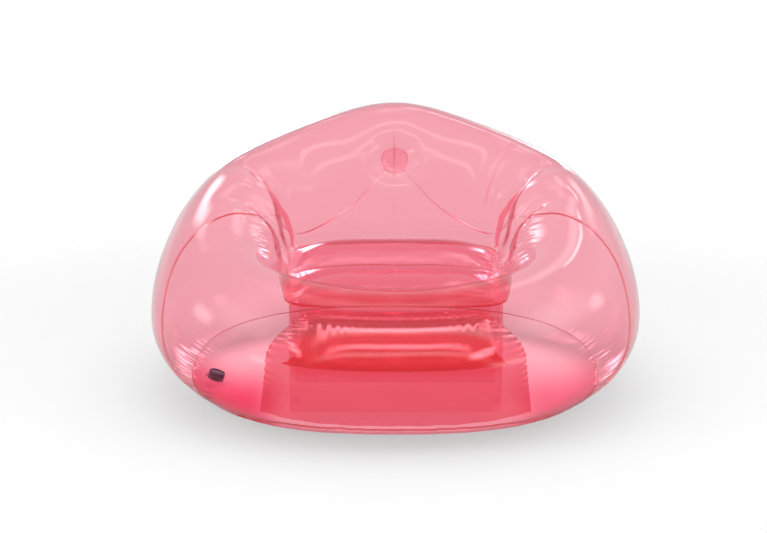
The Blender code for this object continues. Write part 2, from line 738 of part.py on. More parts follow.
def sheet_grid():
    """Rows of the inner front sheet from its weld on the front web, over its roll, to the floor."""
    back = FRONT_WEB_Y - FILM / 2 - GAP - FILM
    turn = np.linspace(0, math.pi / 2, SHEET_ROLL_ROWS + 1)
    drop = np.linspace(0, 1, SHEET_SKIRT_ROWS + 1)[1:]
    forward = np.concatenate([np.sin(turn), np.ones(SHEET_SKIRT_ROWS)])[:, None]
    roll = SHEET_WAIST_HEIGHT + (SHEET_TOP_HEIGHT - SHEET_WAIST_HEIGHT) * np.cos(turn)
    foot = FILM + GAP
    height = np.concatenate([roll, SHEET_WAIST_HEIGHT + (foot - SHEET_WAIST_HEIGHT) * drop])[:, None]
    flare = (SHEET_FOOT_HALF_WIDTH - SHEET_TOP_HALF_WIDTH) * forward**SHEET_FLARE_POWER
    half = SHEET_TOP_HALF_WIDTH + flare
    across = np.linspace(-1, 1, SHEET_COLUMNS + 1)[None, :]
    x = half * across
    bow = (1 - np.abs(x / SHEET_PLAN_HALF_WIDTH) ** SHEET_PLAN_POWER) ** (1 / SHEET_PLAN_POWER)
    y = back + (-SHEET_FOOT_FRONT * bow - back) * forward
    return np.stack([x, y, np.broadcast_to(height, x.shape)], axis=-1)


def add_front_sheet(group):
    """Bell-shaped sheet inside the front, with its rows turned upwards so that it faces the front."""
    grid = sheet_grid()[::-1]
    return add_film("inner_front_sheet", grid.reshape(-1, 3), grid_faces(grid), group, INNER_FILM_COLOUR)


def add_roll(group):
    """Sheet behind the roll, from the front web down to the inner front sheet's waist."""
    sheet = sheet_grid()
    waist = sheet[SHEET_ROLL_ROWS]
    along = np.gradient(waist, axis=0)
    inwards = unit(np.stack([-along[:, 1], along[:, 0], np.zeros(len(along))], axis=-1))
    low = (waist + inwards * (FILM + GAP))[ROLL_END_COLUMNS:-ROLL_END_COLUMNS]
    back = sheet[0, 0, 1]
    x = np.linspace(-ROLL_TOP_HALF_WIDTH, ROLL_TOP_HALF_WIDTH, len(low))
    high = np.stack([x, np.full_like(x, back), np.full_like(x, ROLL_TOP_HEIGHT)], axis=-1)
    run = np.linspace(0, 1, ROLL_ROWS + 1)[:, None, None]
    grid = low[None] + (high - low)[None] * run
    grid[..., 2] -= ROLL_SAG * np.sin(math.pi * run[..., 0])
    return add_film("front_roll_sheet", grid.reshape(-1, 3), grid_faces(grid), group, INNER_FILM_COLOUR)


def add_dot(name, x, height, group):
    """A round weld dot that stiffens a corner of the front web, on its rear face."""
    made = add_cylinder(name, DOT_RADIUS, 2 * FILM, DOT_SIDES, group, INNER_FILM_COLOUR)
    made.location = (x, FRONT_WEB_Y + FILM / 2 + GAP + FILM, height)
    made.rotation_euler.x = math.pi / 2
    return made


def add_turned(name, profile, group, colour, closed=True):
    """A profile of radii and heights turned round Z; a closed one stays clear of the axis."""
    mesh = bpy.data.meshes.new(name)
    last = len(profile) if closed else len(profile) - 1
    edges = [(index, (index + 1) % len(profile)) for index in range(last)]
    mesh.from_pydata([(radius, 0, height) for radius, height in profile], edges, [])
    made = add_object(name, mesh, group, colour, MOULDED_ROUGHNESS)
    turned = made.modifiers.new("turned", "SCREW")
    turned.steps = turned.render_steps = TURNED_STEPS
    turned.use_merge_vertices = True
    turned.merge_threshold = 0.00001
    turned.use_smooth_shade = False
    return made


def add_button(group):
    """Dished round patch at the meeting of the three seams, with its edge turned in."""
    middle, axis, right, up = button_frame()
    radius = BUTTON_RADIUS - GAP - BUTTON_RIM_RELIEF
    profile = [
        (0, -BUTTON_DISH),
        (BUTTON_FLAT_RADIUS, -BUTTON_DISH),
        (radius - BUTTON_DISH / 2, 0),
        (radius, 0),
        (radius, -FIN_DEPTH),
    ]
    made = add_turned("back_button", profile, group, INNER_FILM_COLOUR, closed=False)
    wall = made.modifiers.new("film", "SOLIDIFY")
    wall.thickness = BUTTON_FILM
    wall.offset = -1
    wall.use_even_offset = True
    made.location = middle
    made.rotation_euler = Matrix(np.stack([right, up, axis], axis=-1).tolist()).to_euler()
    return made


def add_strap(group):
    """Upright strap from the button back to the fins of the centre seam."""
    middle, axis, _, up = button_frame()
    front = middle - axis * (BUTTON_DISH + BUTTON_FILM + GAP)
    angle, place = even_walk([math.pi, math.pi], [BASE_SEAM_SHARE, CREST_PLACE], LOWER_SEAM_CELLS)
    tips = skin(angle, place) - skin_normal(angle, place) * FIN_DEPTH
    halves = (tips[1:] + tips[:-1]) / 2
    near = int(np.argmin(np.abs(halves[:, 2] - front[2])))
    along = unit(tips[near + 1] - tips[near])
    inwards = np.array([0.0, -along[2], along[1]])
    back = halves[near] + inwards * np.sign(inwards @ (front - halves[near])) * GAP
    corners = [
        front - up * STRAP_WIDTH / 2,
        back - along * STRAP_WIDTH / 2,
        back + along * STRAP_WIDTH / 2,
        front + up * STRAP_WIDTH / 2,
    ]
    outline = [(corner[1], corner[2]) for corner in corners]
    made = add_flat_film("back_tie_strap", outline, [], group, CLEAR_COLOUR)
    made.rotation_euler = (math.pi / 2, 0, math.pi / 2)
    return made


def add_valve(group, cutters):
    """Flange, pull-out insert, one-way flap, cap and the cap's tether, on the valve's own axis."""
    axis = bpy.data.objects.new("valve_axis", None)
    group.objects.link(axis)
    axis.matrix_world = valve_frame()
    plate = FILM + GAP
    shoulder = plate + VALVE_FLANGE_THICKNESS
    collar = VALVE_BORE_RADIUS + VALVE_COLLAR_WALL
    flange = add_turned(
        "valve_flange",
        [
            (collar, VALVE_COLLAR_HEIGHT),
            (collar, shoulder),
            (VALVE_FLANGE_RADIUS, shoulder),
            (VALVE_FLANGE_RADIUS, plate),
            (VALVE_BORE_RADIUS, plate),
            (VALVE_BORE_RADIUS, VALVE_COLLAR_HEIGHT),
        ],
        group,
        CLEAR_COLOUR,
    )
    barrel = VALVE_BORE_RADIUS - GAP
    bore = barrel - INSERT_WALL
    rim = barrel + INSERT_RIM_WIDTH
    rim_top = plate - GAP
    rim_base = rim_top - INSERT_RIM_THICKNESS
    lip_top = INSERT_TOP - INSERT_LIP_DROP
    lip_base = lip_top - INSERT_LIP_THICKNESS
    lip = bore - INSERT_LIP_WIDTH
    insert = add_turned(
        "valve_insert",
        [
            (barrel, INSERT_TOP),
            (barrel, rim_top),
            (rim, rim_top),
            (rim, rim_base),
            (bore, rim_base),
            (bore, lip_base),
            (lip, lip_base),
            (lip, lip_top),
            (bore, lip_top),
            (bore, INSERT_TOP),
        ],
        group,
        VALVE_COLOUR,
    )
    flap_radius = lip + FLAP_OVERLAP
    flap = add_cylinder("valve_flap", flap_radius, FLAP_THICKNESS, FLAP_SIDES, group, FLAP_COLOUR)
    flap.data.transform(Matrix.Translation((flap_radius + GAP, 0, FLAP_THICKNESS / 2)))
    flap.location = (-flap_radius - GAP, 0, lip_top + GAP)
    plug = bore - GAP
    cap_top = rim_base - GAP
    cap_base = cap_top - CAP_THICKNESS
    cap = add_turned(
        "valve_cap",
        [
            (0, cap_top),
            (plug - CAP_PLUG_WALL, cap_top),
            (plug - CAP_PLUG_WALL, cap_top + CAP_PLUG_DEPTH),
            (plug, cap_top + CAP_PLUG_DEPTH),
            (plug, cap_top),
            (CAP_RADIUS, cap_top),
            (CAP_RADIUS, cap_base),
            (0, cap_base),
        ],
        group,
        VALVE_COLOUR,
        closed=False,
    )
    tab_length = CAP_TAB_REACH + CAP_RADIUS / 2
    tab = add_box("cap_tab", (CAP_TAB_WIDTH, tab_length, CAP_TAB_THICKNESS), cutters, VALVE_COLOUR)
    tab.location = (0, CAP_RADIUS + CAP_TAB_REACH - tab_length / 2, cap_base + CAP_TAB_THICKNESS)
    cut_by(cap, tab, "UNION")
    half = TETHER_THICKNESS / 2
    high, low = (rim_top + rim_base) / 2 - half, (cap_top + cap_base) / 2
    near, under, far = rim + GAP, CAP_RADIUS + GAP, rim + GAP + TETHER_REACH
    tether = add_flat_film(
        "cap_tether",
        [
            (near, high + half),
            (far - half, high + half),
            (far + half, high - half),
            (far + half, low + half),
            (far - half, low - half),
            (under, low - half),
            (under, low + half),
            (far - half, low + half),
            (far - half, high - half),
            (near, high - half),
        ],
        [],
        group,
        VALVE_COLOUR,
    )
    tether.data.extrude = TETHER_WIDTH / 2
    tether.rotation_euler.x = math.pi / 2
    for item in (flange, insert, flap, cap, tab, tether):
        item.parent = axis
    return axis


def add_box(name, size, group, colour):
    mesh = bpy.data.meshes.new(name)
    made = bmesh.new()
    bmesh.ops.create_cube(made, size=1)
    bmesh.ops.scale(made, vec=size, verts=made.verts)
    made.to_mesh(mesh)
    made.free()
    return add_object(name, mesh, group, colour, MOULDED_ROUGHNESS)


def main():
    parts, cutters = emptied_collections()
    seat = seat_grid()
    add_front_panel(parts, seat_loop(seat))
    add_rear_panel("rear_right_panel", parts, left=False)
    add_rear_panel("rear_left_panel", parts, left=True)
    add_base_panel(parts, cutters)
    add_seat_panel(parts, seat)
    add_web("seat_web_front", seat, 1, parts)
    add_web("seat_web_middle", seat, 1 + SEAT_TUBE_CELLS, parts)
    add_web("seat_web_rear", seat, 1 + 2 * SEAT_TUBE_CELLS, parts)
    add_front_sheet(parts)
    add_roll(parts)
    for side, x in (("left", -1), ("right", 1)):
        aside = x * (WEB_FOOT_HALF_WIDTH - DOT_INSET)
        add_dot(f"web_dot_upper_{side}", aside, DOT_UPPER_HEIGHT, parts)
        add_dot(f"web_dot_lower_{side}", aside, DOT_LOWER_HEIGHT, parts)
    add_button(parts)
    add_strap(parts)
    add_valve(parts, cutters)
    bpy.context.view_layer.update()


if __name__ == "__main__":
    main()
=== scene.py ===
"""Looks of an inflatable bean bag chair of clear tinted film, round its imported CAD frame.

Metres, +Z up. The chair faces -Y and stands on the floor with its origin under its middle. A point of
the outer film is told by its angle from the front and its place on the section there: 0 at the floor,
1 at the widest, 2 at the crest, 3 at the bulge of the inner wall and 4 at the seat's edge.
"""

import logging
import math
from dataclasses import dataclass, field
from enum import Enum
from typing import Callable, Optional, Sequence

import bpy
import numpy as np
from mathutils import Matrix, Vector


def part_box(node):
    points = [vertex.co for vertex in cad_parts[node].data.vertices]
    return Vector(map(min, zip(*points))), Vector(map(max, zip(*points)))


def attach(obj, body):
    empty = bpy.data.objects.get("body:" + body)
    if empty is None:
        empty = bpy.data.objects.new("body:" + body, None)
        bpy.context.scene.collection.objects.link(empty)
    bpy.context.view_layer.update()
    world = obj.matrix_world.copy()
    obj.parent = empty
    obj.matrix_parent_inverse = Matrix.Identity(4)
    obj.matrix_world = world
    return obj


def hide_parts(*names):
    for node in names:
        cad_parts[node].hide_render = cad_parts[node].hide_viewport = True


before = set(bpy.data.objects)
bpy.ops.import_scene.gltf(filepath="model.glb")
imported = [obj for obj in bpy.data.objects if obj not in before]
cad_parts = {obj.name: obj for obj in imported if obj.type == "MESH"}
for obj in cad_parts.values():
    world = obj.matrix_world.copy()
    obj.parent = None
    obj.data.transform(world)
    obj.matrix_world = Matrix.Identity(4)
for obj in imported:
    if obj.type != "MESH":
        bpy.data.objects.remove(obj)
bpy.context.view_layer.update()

log = logging.getLogger("chair")
Floats = np.ndarray
Surface = Callable[[Floats, Floats], Floats]
Colour = tuple[float, float, float]

STEP = 1e-4
FLOOR, WIDEST, CREST, BULGE, SEAT = range(5)


class Body(Enum):
    """CAD bodies that a piece can ride on."""

    CHAIR = "chair"
    INSERT = "insert"
    CAP = "cap"
    FLAP = "flap"


class Slot(Enum):
    """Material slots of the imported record."""

    OUTER = "outer_film"
    INNER = "inner_film"
    CLEAR = "clear_plastic"
    VALVE = "valve_plastic"
    FLAP = "flap_film"


def unit(vectors: Floats) -> Floats:
    """Vectors divided by their lengths."""
    return vectors / np.maximum(np.linalg.norm(vectors, axis=-1, keepdims=True), 1e-12)


def ease(value: Floats) -> Floats:
    """Smooth step: 3t^2 - 2t^3 with t held between 0 and 1."""
    held = np.clip(value, 0, 1)
    return held * held * (3 - 2 * held)


def crowded(count: int, crowding: float = 0.6) -> Floats:
    """Shares from 0 to 1 that lie closer together at both ends: t - c sin(2 pi t) / 2 pi.

    Args:
        count: number of shares.
        crowding: c, from 0 for even spacing to just under 1.

    Returns:
        The shares.
    """
    even = np.linspace(0, 1, count)
    return even - crowding * np.sin(2 * math.pi * even) / (2 * math.pi)


def refined(values: Floats, cells: int) -> Floats:
    """A smooth curve through values with each gap cut into cells, by cubic Hermite spans.

    Args:
        values: one value or row of values at each knot.
        cells: how many cells each gap becomes.

    Returns:
        The values at the knots and between them.
    """
    knots = np.asarray(values, float)
    tangents = np.gradient(knots, axis=0)
    run = np.linspace(0, 1, cells, endpoint=False).reshape((1, cells) + (1,) * (knots.ndim - 1))
    start, end = knots[:-1, None], knots[1:, None]
    leave, arrive = tangents[:-1, None], tangents[1:, None]
    curve = (
        start
        + leave * run
        + (3 * (end - start) - 2 * leave - arrive) * run**2
        + (2 * (start - end) + leave + arrive) * run**3
    )
    return np.concatenate([curve.reshape((-1,) + knots.shape[1:]), knots[-1:]])


def resampled(lengths: Floats, values: Floats, shares: Floats) -> Floats:
    """Values at shares of each column's own length, by straight lines between samples.

    Args:
        lengths: running length down each column, rows by columns.
        values: what to read, rows by columns.
        shares: shares of the whole length at which to read.

    Returns:
        Shares by columns.
    """
    wanted = shares[:, None] * lengths[-1:]
    above = (lengths[None] <= wanted[:, None] + 1e-12).sum(axis=1)
    above = np.clip(above, 1, len(lengths) - 1)
    low, high = np.take_along_axis(lengths, above - 1, 0), np.take_along_axis(lengths, above, 0)
    first, last = np.take_along_axis(values, above - 1, 0), np.take_along_axis(values, above, 0)
    part = np.clip((wanted - low) / np.maximum(high - low, 1e-12), 0, 1)
    return first + (last - first) * part


def along_line(points: Floats, line: Floats) -> tuple[Floats, Floats, Floats]:
    """Where points lie beside a line of many short pieces.

    Args:
        points: N points.
        line: M points of the line.

    Returns:
        Each point's distance from the line, its running length along it, and the line's whole length.
    """
    steps = np.diff(line, axis=0)
    sizes = np.linalg.norm(steps, axis=1)
    running = np.concatenate([[0.0], np.cumsum(sizes)])
    middles = (line[1:] + line[:-1]) / 2
    squares = (points**2).sum(1)[:, None] - 2 * points @ middles.T + (middles**2).sum(1)[None]
    nearest = np.argmin(squares, axis=1)
    run = ((points - line[nearest]) * steps[nearest]).sum(1) / np.maximum(sizes[nearest] ** 2, 1e-12)
    held = np.clip(run, 0, 1)
    foot = line[nearest] + steps[nearest] * held[:, None]
    return np.linalg.norm(points - foot, axis=1), running[nearest] + held * sizes[nearest], running[-1]


@dataclass(frozen=True)
class Film:
    """Sizes of the film and its welds, and the value kept where no weld or fold is near."""

    thickness: float = 0.0004
    gap: float = 0.0003
    fin: float = 0.005
    away: float = 9.0


FILM = Film()


@dataclass(frozen=True)
class Around:
    """A value that passes smoothly through its front, side and back values."""

    front: float
    side: float
    back: float

    def at(self, angle: Floats) -> Floats:
        """Mean plus a first cosine for front against back and a second for the sides."""
        middle = (self.front + self.back) / 2
        tilt = (self.front - self.back) / 2 * np.cos(angle)
        return (middle + self.side) / 2 + tilt + (middle - self.side) / 2 * np.cos(2 * angle)


@dataclass(frozen=True)
class Ring:
    """A rounded oblong round the body and the height at which it lies."""

    half_width: float
    front: float
    back: float
    power: float
    height: Around

    def radius(self, angle: Floats) -> Floats:
        """Distance from the middle: (|sin / half width|^p + |cos / reach|^p)^(-1/p)."""
        reach = np.where(np.cos(angle) > 0, self.front, self.back)
        across = np.abs(np.sin(angle) / self.half_width) ** self.power
        return (across + np.abs(np.cos(angle) / reach) ** self.power) ** (-1 / self.power)


@dataclass(frozen=True)
class Fold:
    """A wide round groove past the crest, at an angle that drifts from the first to the second."""

    degrees: tuple[float, float]
    depth: float
    reach: float


@dataclass(frozen=True)
class Button:
    """Places and sizes of the tuft in the backrest."""

    share: float = 2.86
    radius: float = 0.040
    flat_radius: float = 0.027
    dish: float = 0.006
    dimple_depth: float = 0.046
    dimple_reach: float = 0.062
    seam_degrees: float = -39.0


@dataclass(frozen=True)
class BodyForm:
    """The smooth inflated body and its folds, the same as the CAD solids'."""

    floor: Ring = Ring(0.410, 0.430, 0.400, 3.0, Around(0.0, 0.0, 0.0))
    widest: Ring = Ring(0.685, 0.635, 0.635, 2.25, Around(0.200, 0.225, 0.280))
    crest: Ring = Ring(0.472, 0.440, 0.400, 2.6, Around(0.378, 0.535, 0.745))
    bulge: Ring = Ring(0.318, 0.362, 0.250, 4.5, Around(0.340, 0.385, 0.550))
    seat: Ring = Ring(0.305, 0.345, 0.280, 7.0, Around(0.310, 0.318, 0.338))
    shoulder_drop: float = 0.028
    folds: tuple[Fold, ...] = (
        Fold((112.0, 124.0), 0.042, 0.046),
        Fold((89.0, 100.0), 0.026, 0.038),
    )
    fold_start: float = 1.85
    fold_ramp: float = 0.75
    button: Button = Button()

    def section(self, angle: Floats, place: Floats) -> Floats:
        """Point without folds: quarter arcs up to the crest and down to the bulge, then a bend.

        The crest lies lower between the sides and the back, by drop (1 - cos 4a)/2 (1 - cos a)/2.
        """
        rings = (self.floor, self.widest, self.crest, self.bulge, self.seat)
        floor, widest, crest, bulge, seat = (ring.radius(angle) for ring in rings)
        _, widest_z, crest_z, bulge_z, seat_z = (ring.height.at(angle) for ring in rings)
        drop = self.shoulder_drop * (1 - np.cos(4 * angle)) / 2 * (1 - np.cos(angle)) / 2
        crest_z = crest_z - drop
        quarter = np.clip(np.floor(place), FLOOR, BULGE).astype(int)
        share = place - quarter
        sine, cosine = np.sin(share * math.pi / 2), np.cos(share * math.pi / 2)
        radius = np.choose(
            quarter,
            [
                floor + (widest - floor) * sine,
                crest + (widest - crest) * cosine,
                bulge + (crest - bulge) * (1 - sine),
                bulge + (seat - bulge) * share**2,
            ],
        )
        height = np.choose(
            quarter,
            [
                widest_z * (1 - cosine),
                widest_z + (crest_z - widest_z) * sine,
                bulge_z + (crest_z - bulge_z) * cosine,
                bulge_z + (seat_z - bulge_z) * share,
            ],
        )
        return np.stack([radius * np.sin(angle), -radius * np.cos(angle), height], axis=-1)

    def outward(self, surface: Surface, angle: Floats, place: Floats) -> Floats:
        """Unit normal of a surface of angle and place, by small steps to each side."""
        along = surface(angle + STEP, place) - surface(angle - STEP, place)
        low, high = np.clip(place - STEP, FLOOR, SEAT), np.clip(place + STEP, FLOOR, SEAT)
        return unit(np.cross(along, surface(angle, high) - surface(angle, low)))

    def fold_depth(self, fold: Fold, angle: Floats, place: Floats) -> Floats:
        """A round groove that begins near the crest, deepens and fades out again at the seat."""
        run = np.clip((place - CREST) / (SEAT - CREST), 0, 1)
        line = np.radians(fold.degrees[0] + (fold.degrees[1] - fold.degrees[0]) * run)
        radius = np.linalg.norm(self.section(angle, place)[..., :2], axis=-1)
        aside = (np.abs(angle) - line) * radius
        fade = np.clip((place - self.fold_start) / self.fold_ramp, 0, 1)
        fade = fade * np.clip((SEAT - place) * 2, 0, 1)
        return fold.depth * fade * np.exp(-((aside / fold.reach) ** 2))

    def button_frame(self) -> tuple[Floats, Floats, Floats, Floats]:
        """Middle of the button's rim, its axis out of the backrest, and its right and up directions."""
        button, back = self.button, np.array(math.pi)
        middle = self.section(back, np.array(button.share))
        axis = self.outward(self.section, back, np.array(button.share))
        sunk = button.dimple_depth * math.exp(-((button.radius / button.dimple_reach) ** 2))
        right = np.array([1.0, 0.0, 0.0])
        return middle - axis * sunk, axis, right, unit(np.cross(axis, right))

    def skin(self, angle: Floats, place: Floats) -> Floats:
        """Point of the inflated body with its folds and its dimple."""
        angle, place = np.asarray(angle, float), np.asarray(place, float)
        points = self.section(angle, place)
        depth = sum(self.fold_depth(fold, angle, place) for fold in self.folds)
        points = points - self.outward(self.section, angle, place) * depth[..., None]
        button, back = self.button, np.array(math.pi)
        middle = self.section(back, np.array(button.share))
        axis = self.outward(self.section, back, np.array(button.share))
        away = np.linalg.norm(points - middle, axis=-1)
        dimple = button.dimple_depth * np.exp(-((away / button.dimple_reach) ** 2))
        return points - axis * dimple[..., None]

    def skin_normal(self, angle: Floats, place: Floats) -> Floats:
        """Unit normal of the skin."""
        return self.outward(self.skin, np.asarray(angle, float), np.asarray(place, float))

    def even_walk(self, angles: Sequence[float], places: Sequence[float], cells: int) -> Floats:
        """Angles and places at even lengths along a path on the skin.

        Args:
            angles: the path's angles.
            places: the path's places.
            cells: how many equal steps to take.

        Returns:
            Two rows: angles and places.
        """
        share = np.linspace(0, 1, len(angles))
        fine = np.linspace(0, 1, (len(angles) - 1) * 24 + 1)
        angle, place = np.interp(fine, share, angles), np.interp(fine, share, places)
        steps = np.linalg.norm(np.diff(self.skin(angle, place), axis=0), axis=-1)
        length = np.concatenate([[0.0], np.cumsum(steps)])
        even = np.linspace(0, length[-1], cells + 1)
        return np.stack([np.interp(even, length, angle), np.interp(even, length, place)])

    def line(self, knots: Sequence[tuple[float, float]], cells: int = 16) -> Floats:
        """Points of a smooth line on the skin through knots of degrees and places."""
        curve = refined(np.array(knots, float), cells)
        return self.skin(np.radians(curve[:, 0]), curve[:, 1])


FORM = BodyForm()


@dataclass(frozen=True)
class Seam:
    """Knots of the side seam in degrees and places, and the cells of each CAD stretch."""

    base_share: float = 0.42
    knots: tuple[tuple[float, float], ...] = (
        (58.0, 0.42),
        (60.0, 0.60),
        (62.0, 0.85),
        (65.0, 1.20),
        (69.0, 1.45),
        (79.0, 2.00),
        (84.0, 2.35),
        (98.0, 2.70),
        (118.0, 3.10),
        (129.0, 3.72),
        (149.0, 3.46),
        (165.0, 3.12),
    )
    crest_knot: int = 5
    low_knot: int = 9
    base_cells: int = 8
    lower_cells: int = 9
    arm_cells: int = 5
    back_cells: int = 4
    arc_cells: int = 4
    rear_cells: int = 12

    def path(self, lower: int, arm: int, back: int) -> Floats:
        """Angles and places from the base seam over the arm to beside the button.

        Args:
            lower: how many cells each CAD cell below the crest becomes.
            arm: the same from the crest to the seam's lowest point.
            back: the same from there to the button.

        Returns:
            Two rows: angles and places.
        """
        spans = 24
        curve = refined(np.array(self.knots), spans)
        angle, place = np.radians(curve[:, 0]), curve[:, 1]
        crest, low = self.crest_knot * spans, self.low_knot * spans
        parts = [
            FORM.even_walk(angle[: crest + 1], place[: crest + 1], self.lower_cells * lower),
            FORM.even_walk(angle[crest : low + 1], place[crest : low + 1], self.arm_cells * arm),
            FORM.even_walk(angle[low:], place[low:], (self.back_cells - 1) * back),
        ]
        return np.concatenate([parts[0], parts[1][:, 1:], parts[2][:, 1:]], axis=1)

    def rim(self, degrees: Floats) -> Floats:
        """Angles and places on the smooth body near points of the button's rim."""
        middle, _, right, up = FORM.button_frame()
        turn = np.radians(degrees)[:, None]
        points = middle + FORM.button.radius * (np.cos(turn) * right + np.sin(turn) * up)
        share, back = FORM.button.share, np.array(math.pi)
        slope = FORM.section(back, np.array(share + STEP)) - FORM.section(back, np.array(share - STEP))
        angle = math.pi - np.arctan2(points[:, 0], middle[1])
        return np.stack([angle, share + (points[:, 2] - middle[2]) / slope[2] * 2 * STEP])

    def circle(self, degrees: Floats) -> Floats:
        """Points of the button's rim at angles from its right-hand side."""
        middle, _, right, up = FORM.button_frame()
        turn = np.radians(degrees)[:, None]
        return middle + FORM.button.radius * (np.cos(turn) * right + np.sin(turn) * up)


SEAM = Seam()


@dataclass(frozen=True)
class Pucker:
    """Short gathers across a line: a shallow valley along it and waves that die away from it.

    The depth at a distance d and a running length s is valley exp(-(d/v)^2) plus
    waves exp(-(d/reach)^1.3) (1 - |cos(phase(s))|)^0.8, where the phase drifts so that no two are alike.
    """

    line: Floats
    waves: float
    spacing: float
    reach: float
    seed: float
    valley: float = 0.0012
    valley_reach: float = 0.006
    span: tuple[float, float] = (0.0, 1.0)

    def depth(self, points: Floats) -> Floats:
        """Depth of the gathers at N points."""
        distance, run, whole = along_line(points, self.line)
        phase = math.pi * run / self.spacing
        phase = phase + 1.3 * np.sin(run / self.spacing * 0.83 + self.seed)
        phase = phase + 0.8 * np.sin(run / self.spacing * 0.37 + 2.1 * self.seed)
        wave = (1 - np.abs(np.cos(phase))) ** 0.8
        size = 0.55 + 0.45 * np.sin(run / self.spacing * 1.7 + 3.3 * self.seed)
        share = run / whole
        inside = ease((share - self.span[0]) / 0.06) * ease((self.span[1] - share) / 0.06)
        if self.span == (0.0, 1.0):
            inside = 1.0
        gathers = self.waves * size * wave * np.exp(-((distance / self.reach) ** 1.3)) * inside
        return gathers + self.valley * np.exp(-((distance / self.valley_reach) ** 2))


@dataclass(frozen=True)
class Crease:
    """A crease down the inner wall, told by knots of degrees and places.

    With d the distance aside from its line, positive towards the middle of the back, its depth is
    deep fade exp(-d/steep) on that side and deep fade exp(d/gentle) on the other, less a bank of
    bank deep fade at either side. The fade is a smooth step in from both ends of its run of places.
    The film lies doubled in a band as wide as twice doubled fade.
    """

    knots: tuple[tuple[float, float], ...]
    deep: float
    steep: float = 0.004
    gentle: float = 0.008
    doubled: float = 0.0
    bank: float = 0.35
    sides: tuple[float, ...] = (1.0, -1.0)
    ends: tuple[float, float] = (0.25, 0.25)

    def aside(self, side: float, angle: Floats, place: Floats, radius: Floats) -> tuple[Floats, Floats]:
        """Distances aside from the line on one side of the chair, and the fade along it."""
        curve = refined(np.array(self.knots), 8)
        line = np.radians(np.interp(place, curve[:, 1], curve[:, 0]))
        first, last = curve[0, 1], curve[-1, 1]
        share = (place - first) / (last - first)
        fade = ease(share / self.ends[0]) * ease((1 - share) / self.ends[1])
        return (side * angle - line) * radius, fade

    def depth(self, angle: Floats, place: Floats, radius: Floats) -> Floats:
        """Depth at angles, places and distances from the chair's middle line."""
        total = 0.0
        for side in self.sides:
            aside, fade = self.aside(side, angle, place, radius)
            width = np.where(aside > 0, self.steep, self.gentle)
            away = np.abs(aside) / width
            total = total + fade * (np.exp(-away) - self.bank * np.exp(-(((away - 2.6) / 1.3) ** 2)))
        return self.deep * total

    def doubling(self, angle: Floats, place: Floats, radius: Floats) -> Floats:
        """Distance from the middle of the doubled film as a share of its half width there."""
        total = np.full_like(radius, FILM.away)
        for side in self.sides if self.doubled else ():
            aside, fade = self.aside(side, angle, place, radius)
            half = np.maximum(self.doubled * fade, 1e-5)
            total = np.minimum(total, np.abs(aside + 0.5 * self.doubled) / half)
        return total


def swell(points: Floats, amount: float, size: float) -> Floats:
    """Gentle unevenness of the film: a sum of sines of the place in space.

    Args:
        points: points on the film, any shape with a last axis of 3.
        amount: height of the largest swell.
        size: wavelength of the largest swell.

    Returns:
        Height at each point.
    """
    x, y, z = (points[..., axis] * 2 * math.pi / size for axis in range(3))
    first = np.sin(x + 1.7 * np.sin(0.6 * z + 0.4)) * np.sin(1.1 * z + 0.8 * y + 1.0)
    second = np.sin(2.3 * x - 1.9 * z + 0.5) * np.sin(2.1 * y + 1.3 * z)
    return amount * (0.65 * first + 0.35 * second)


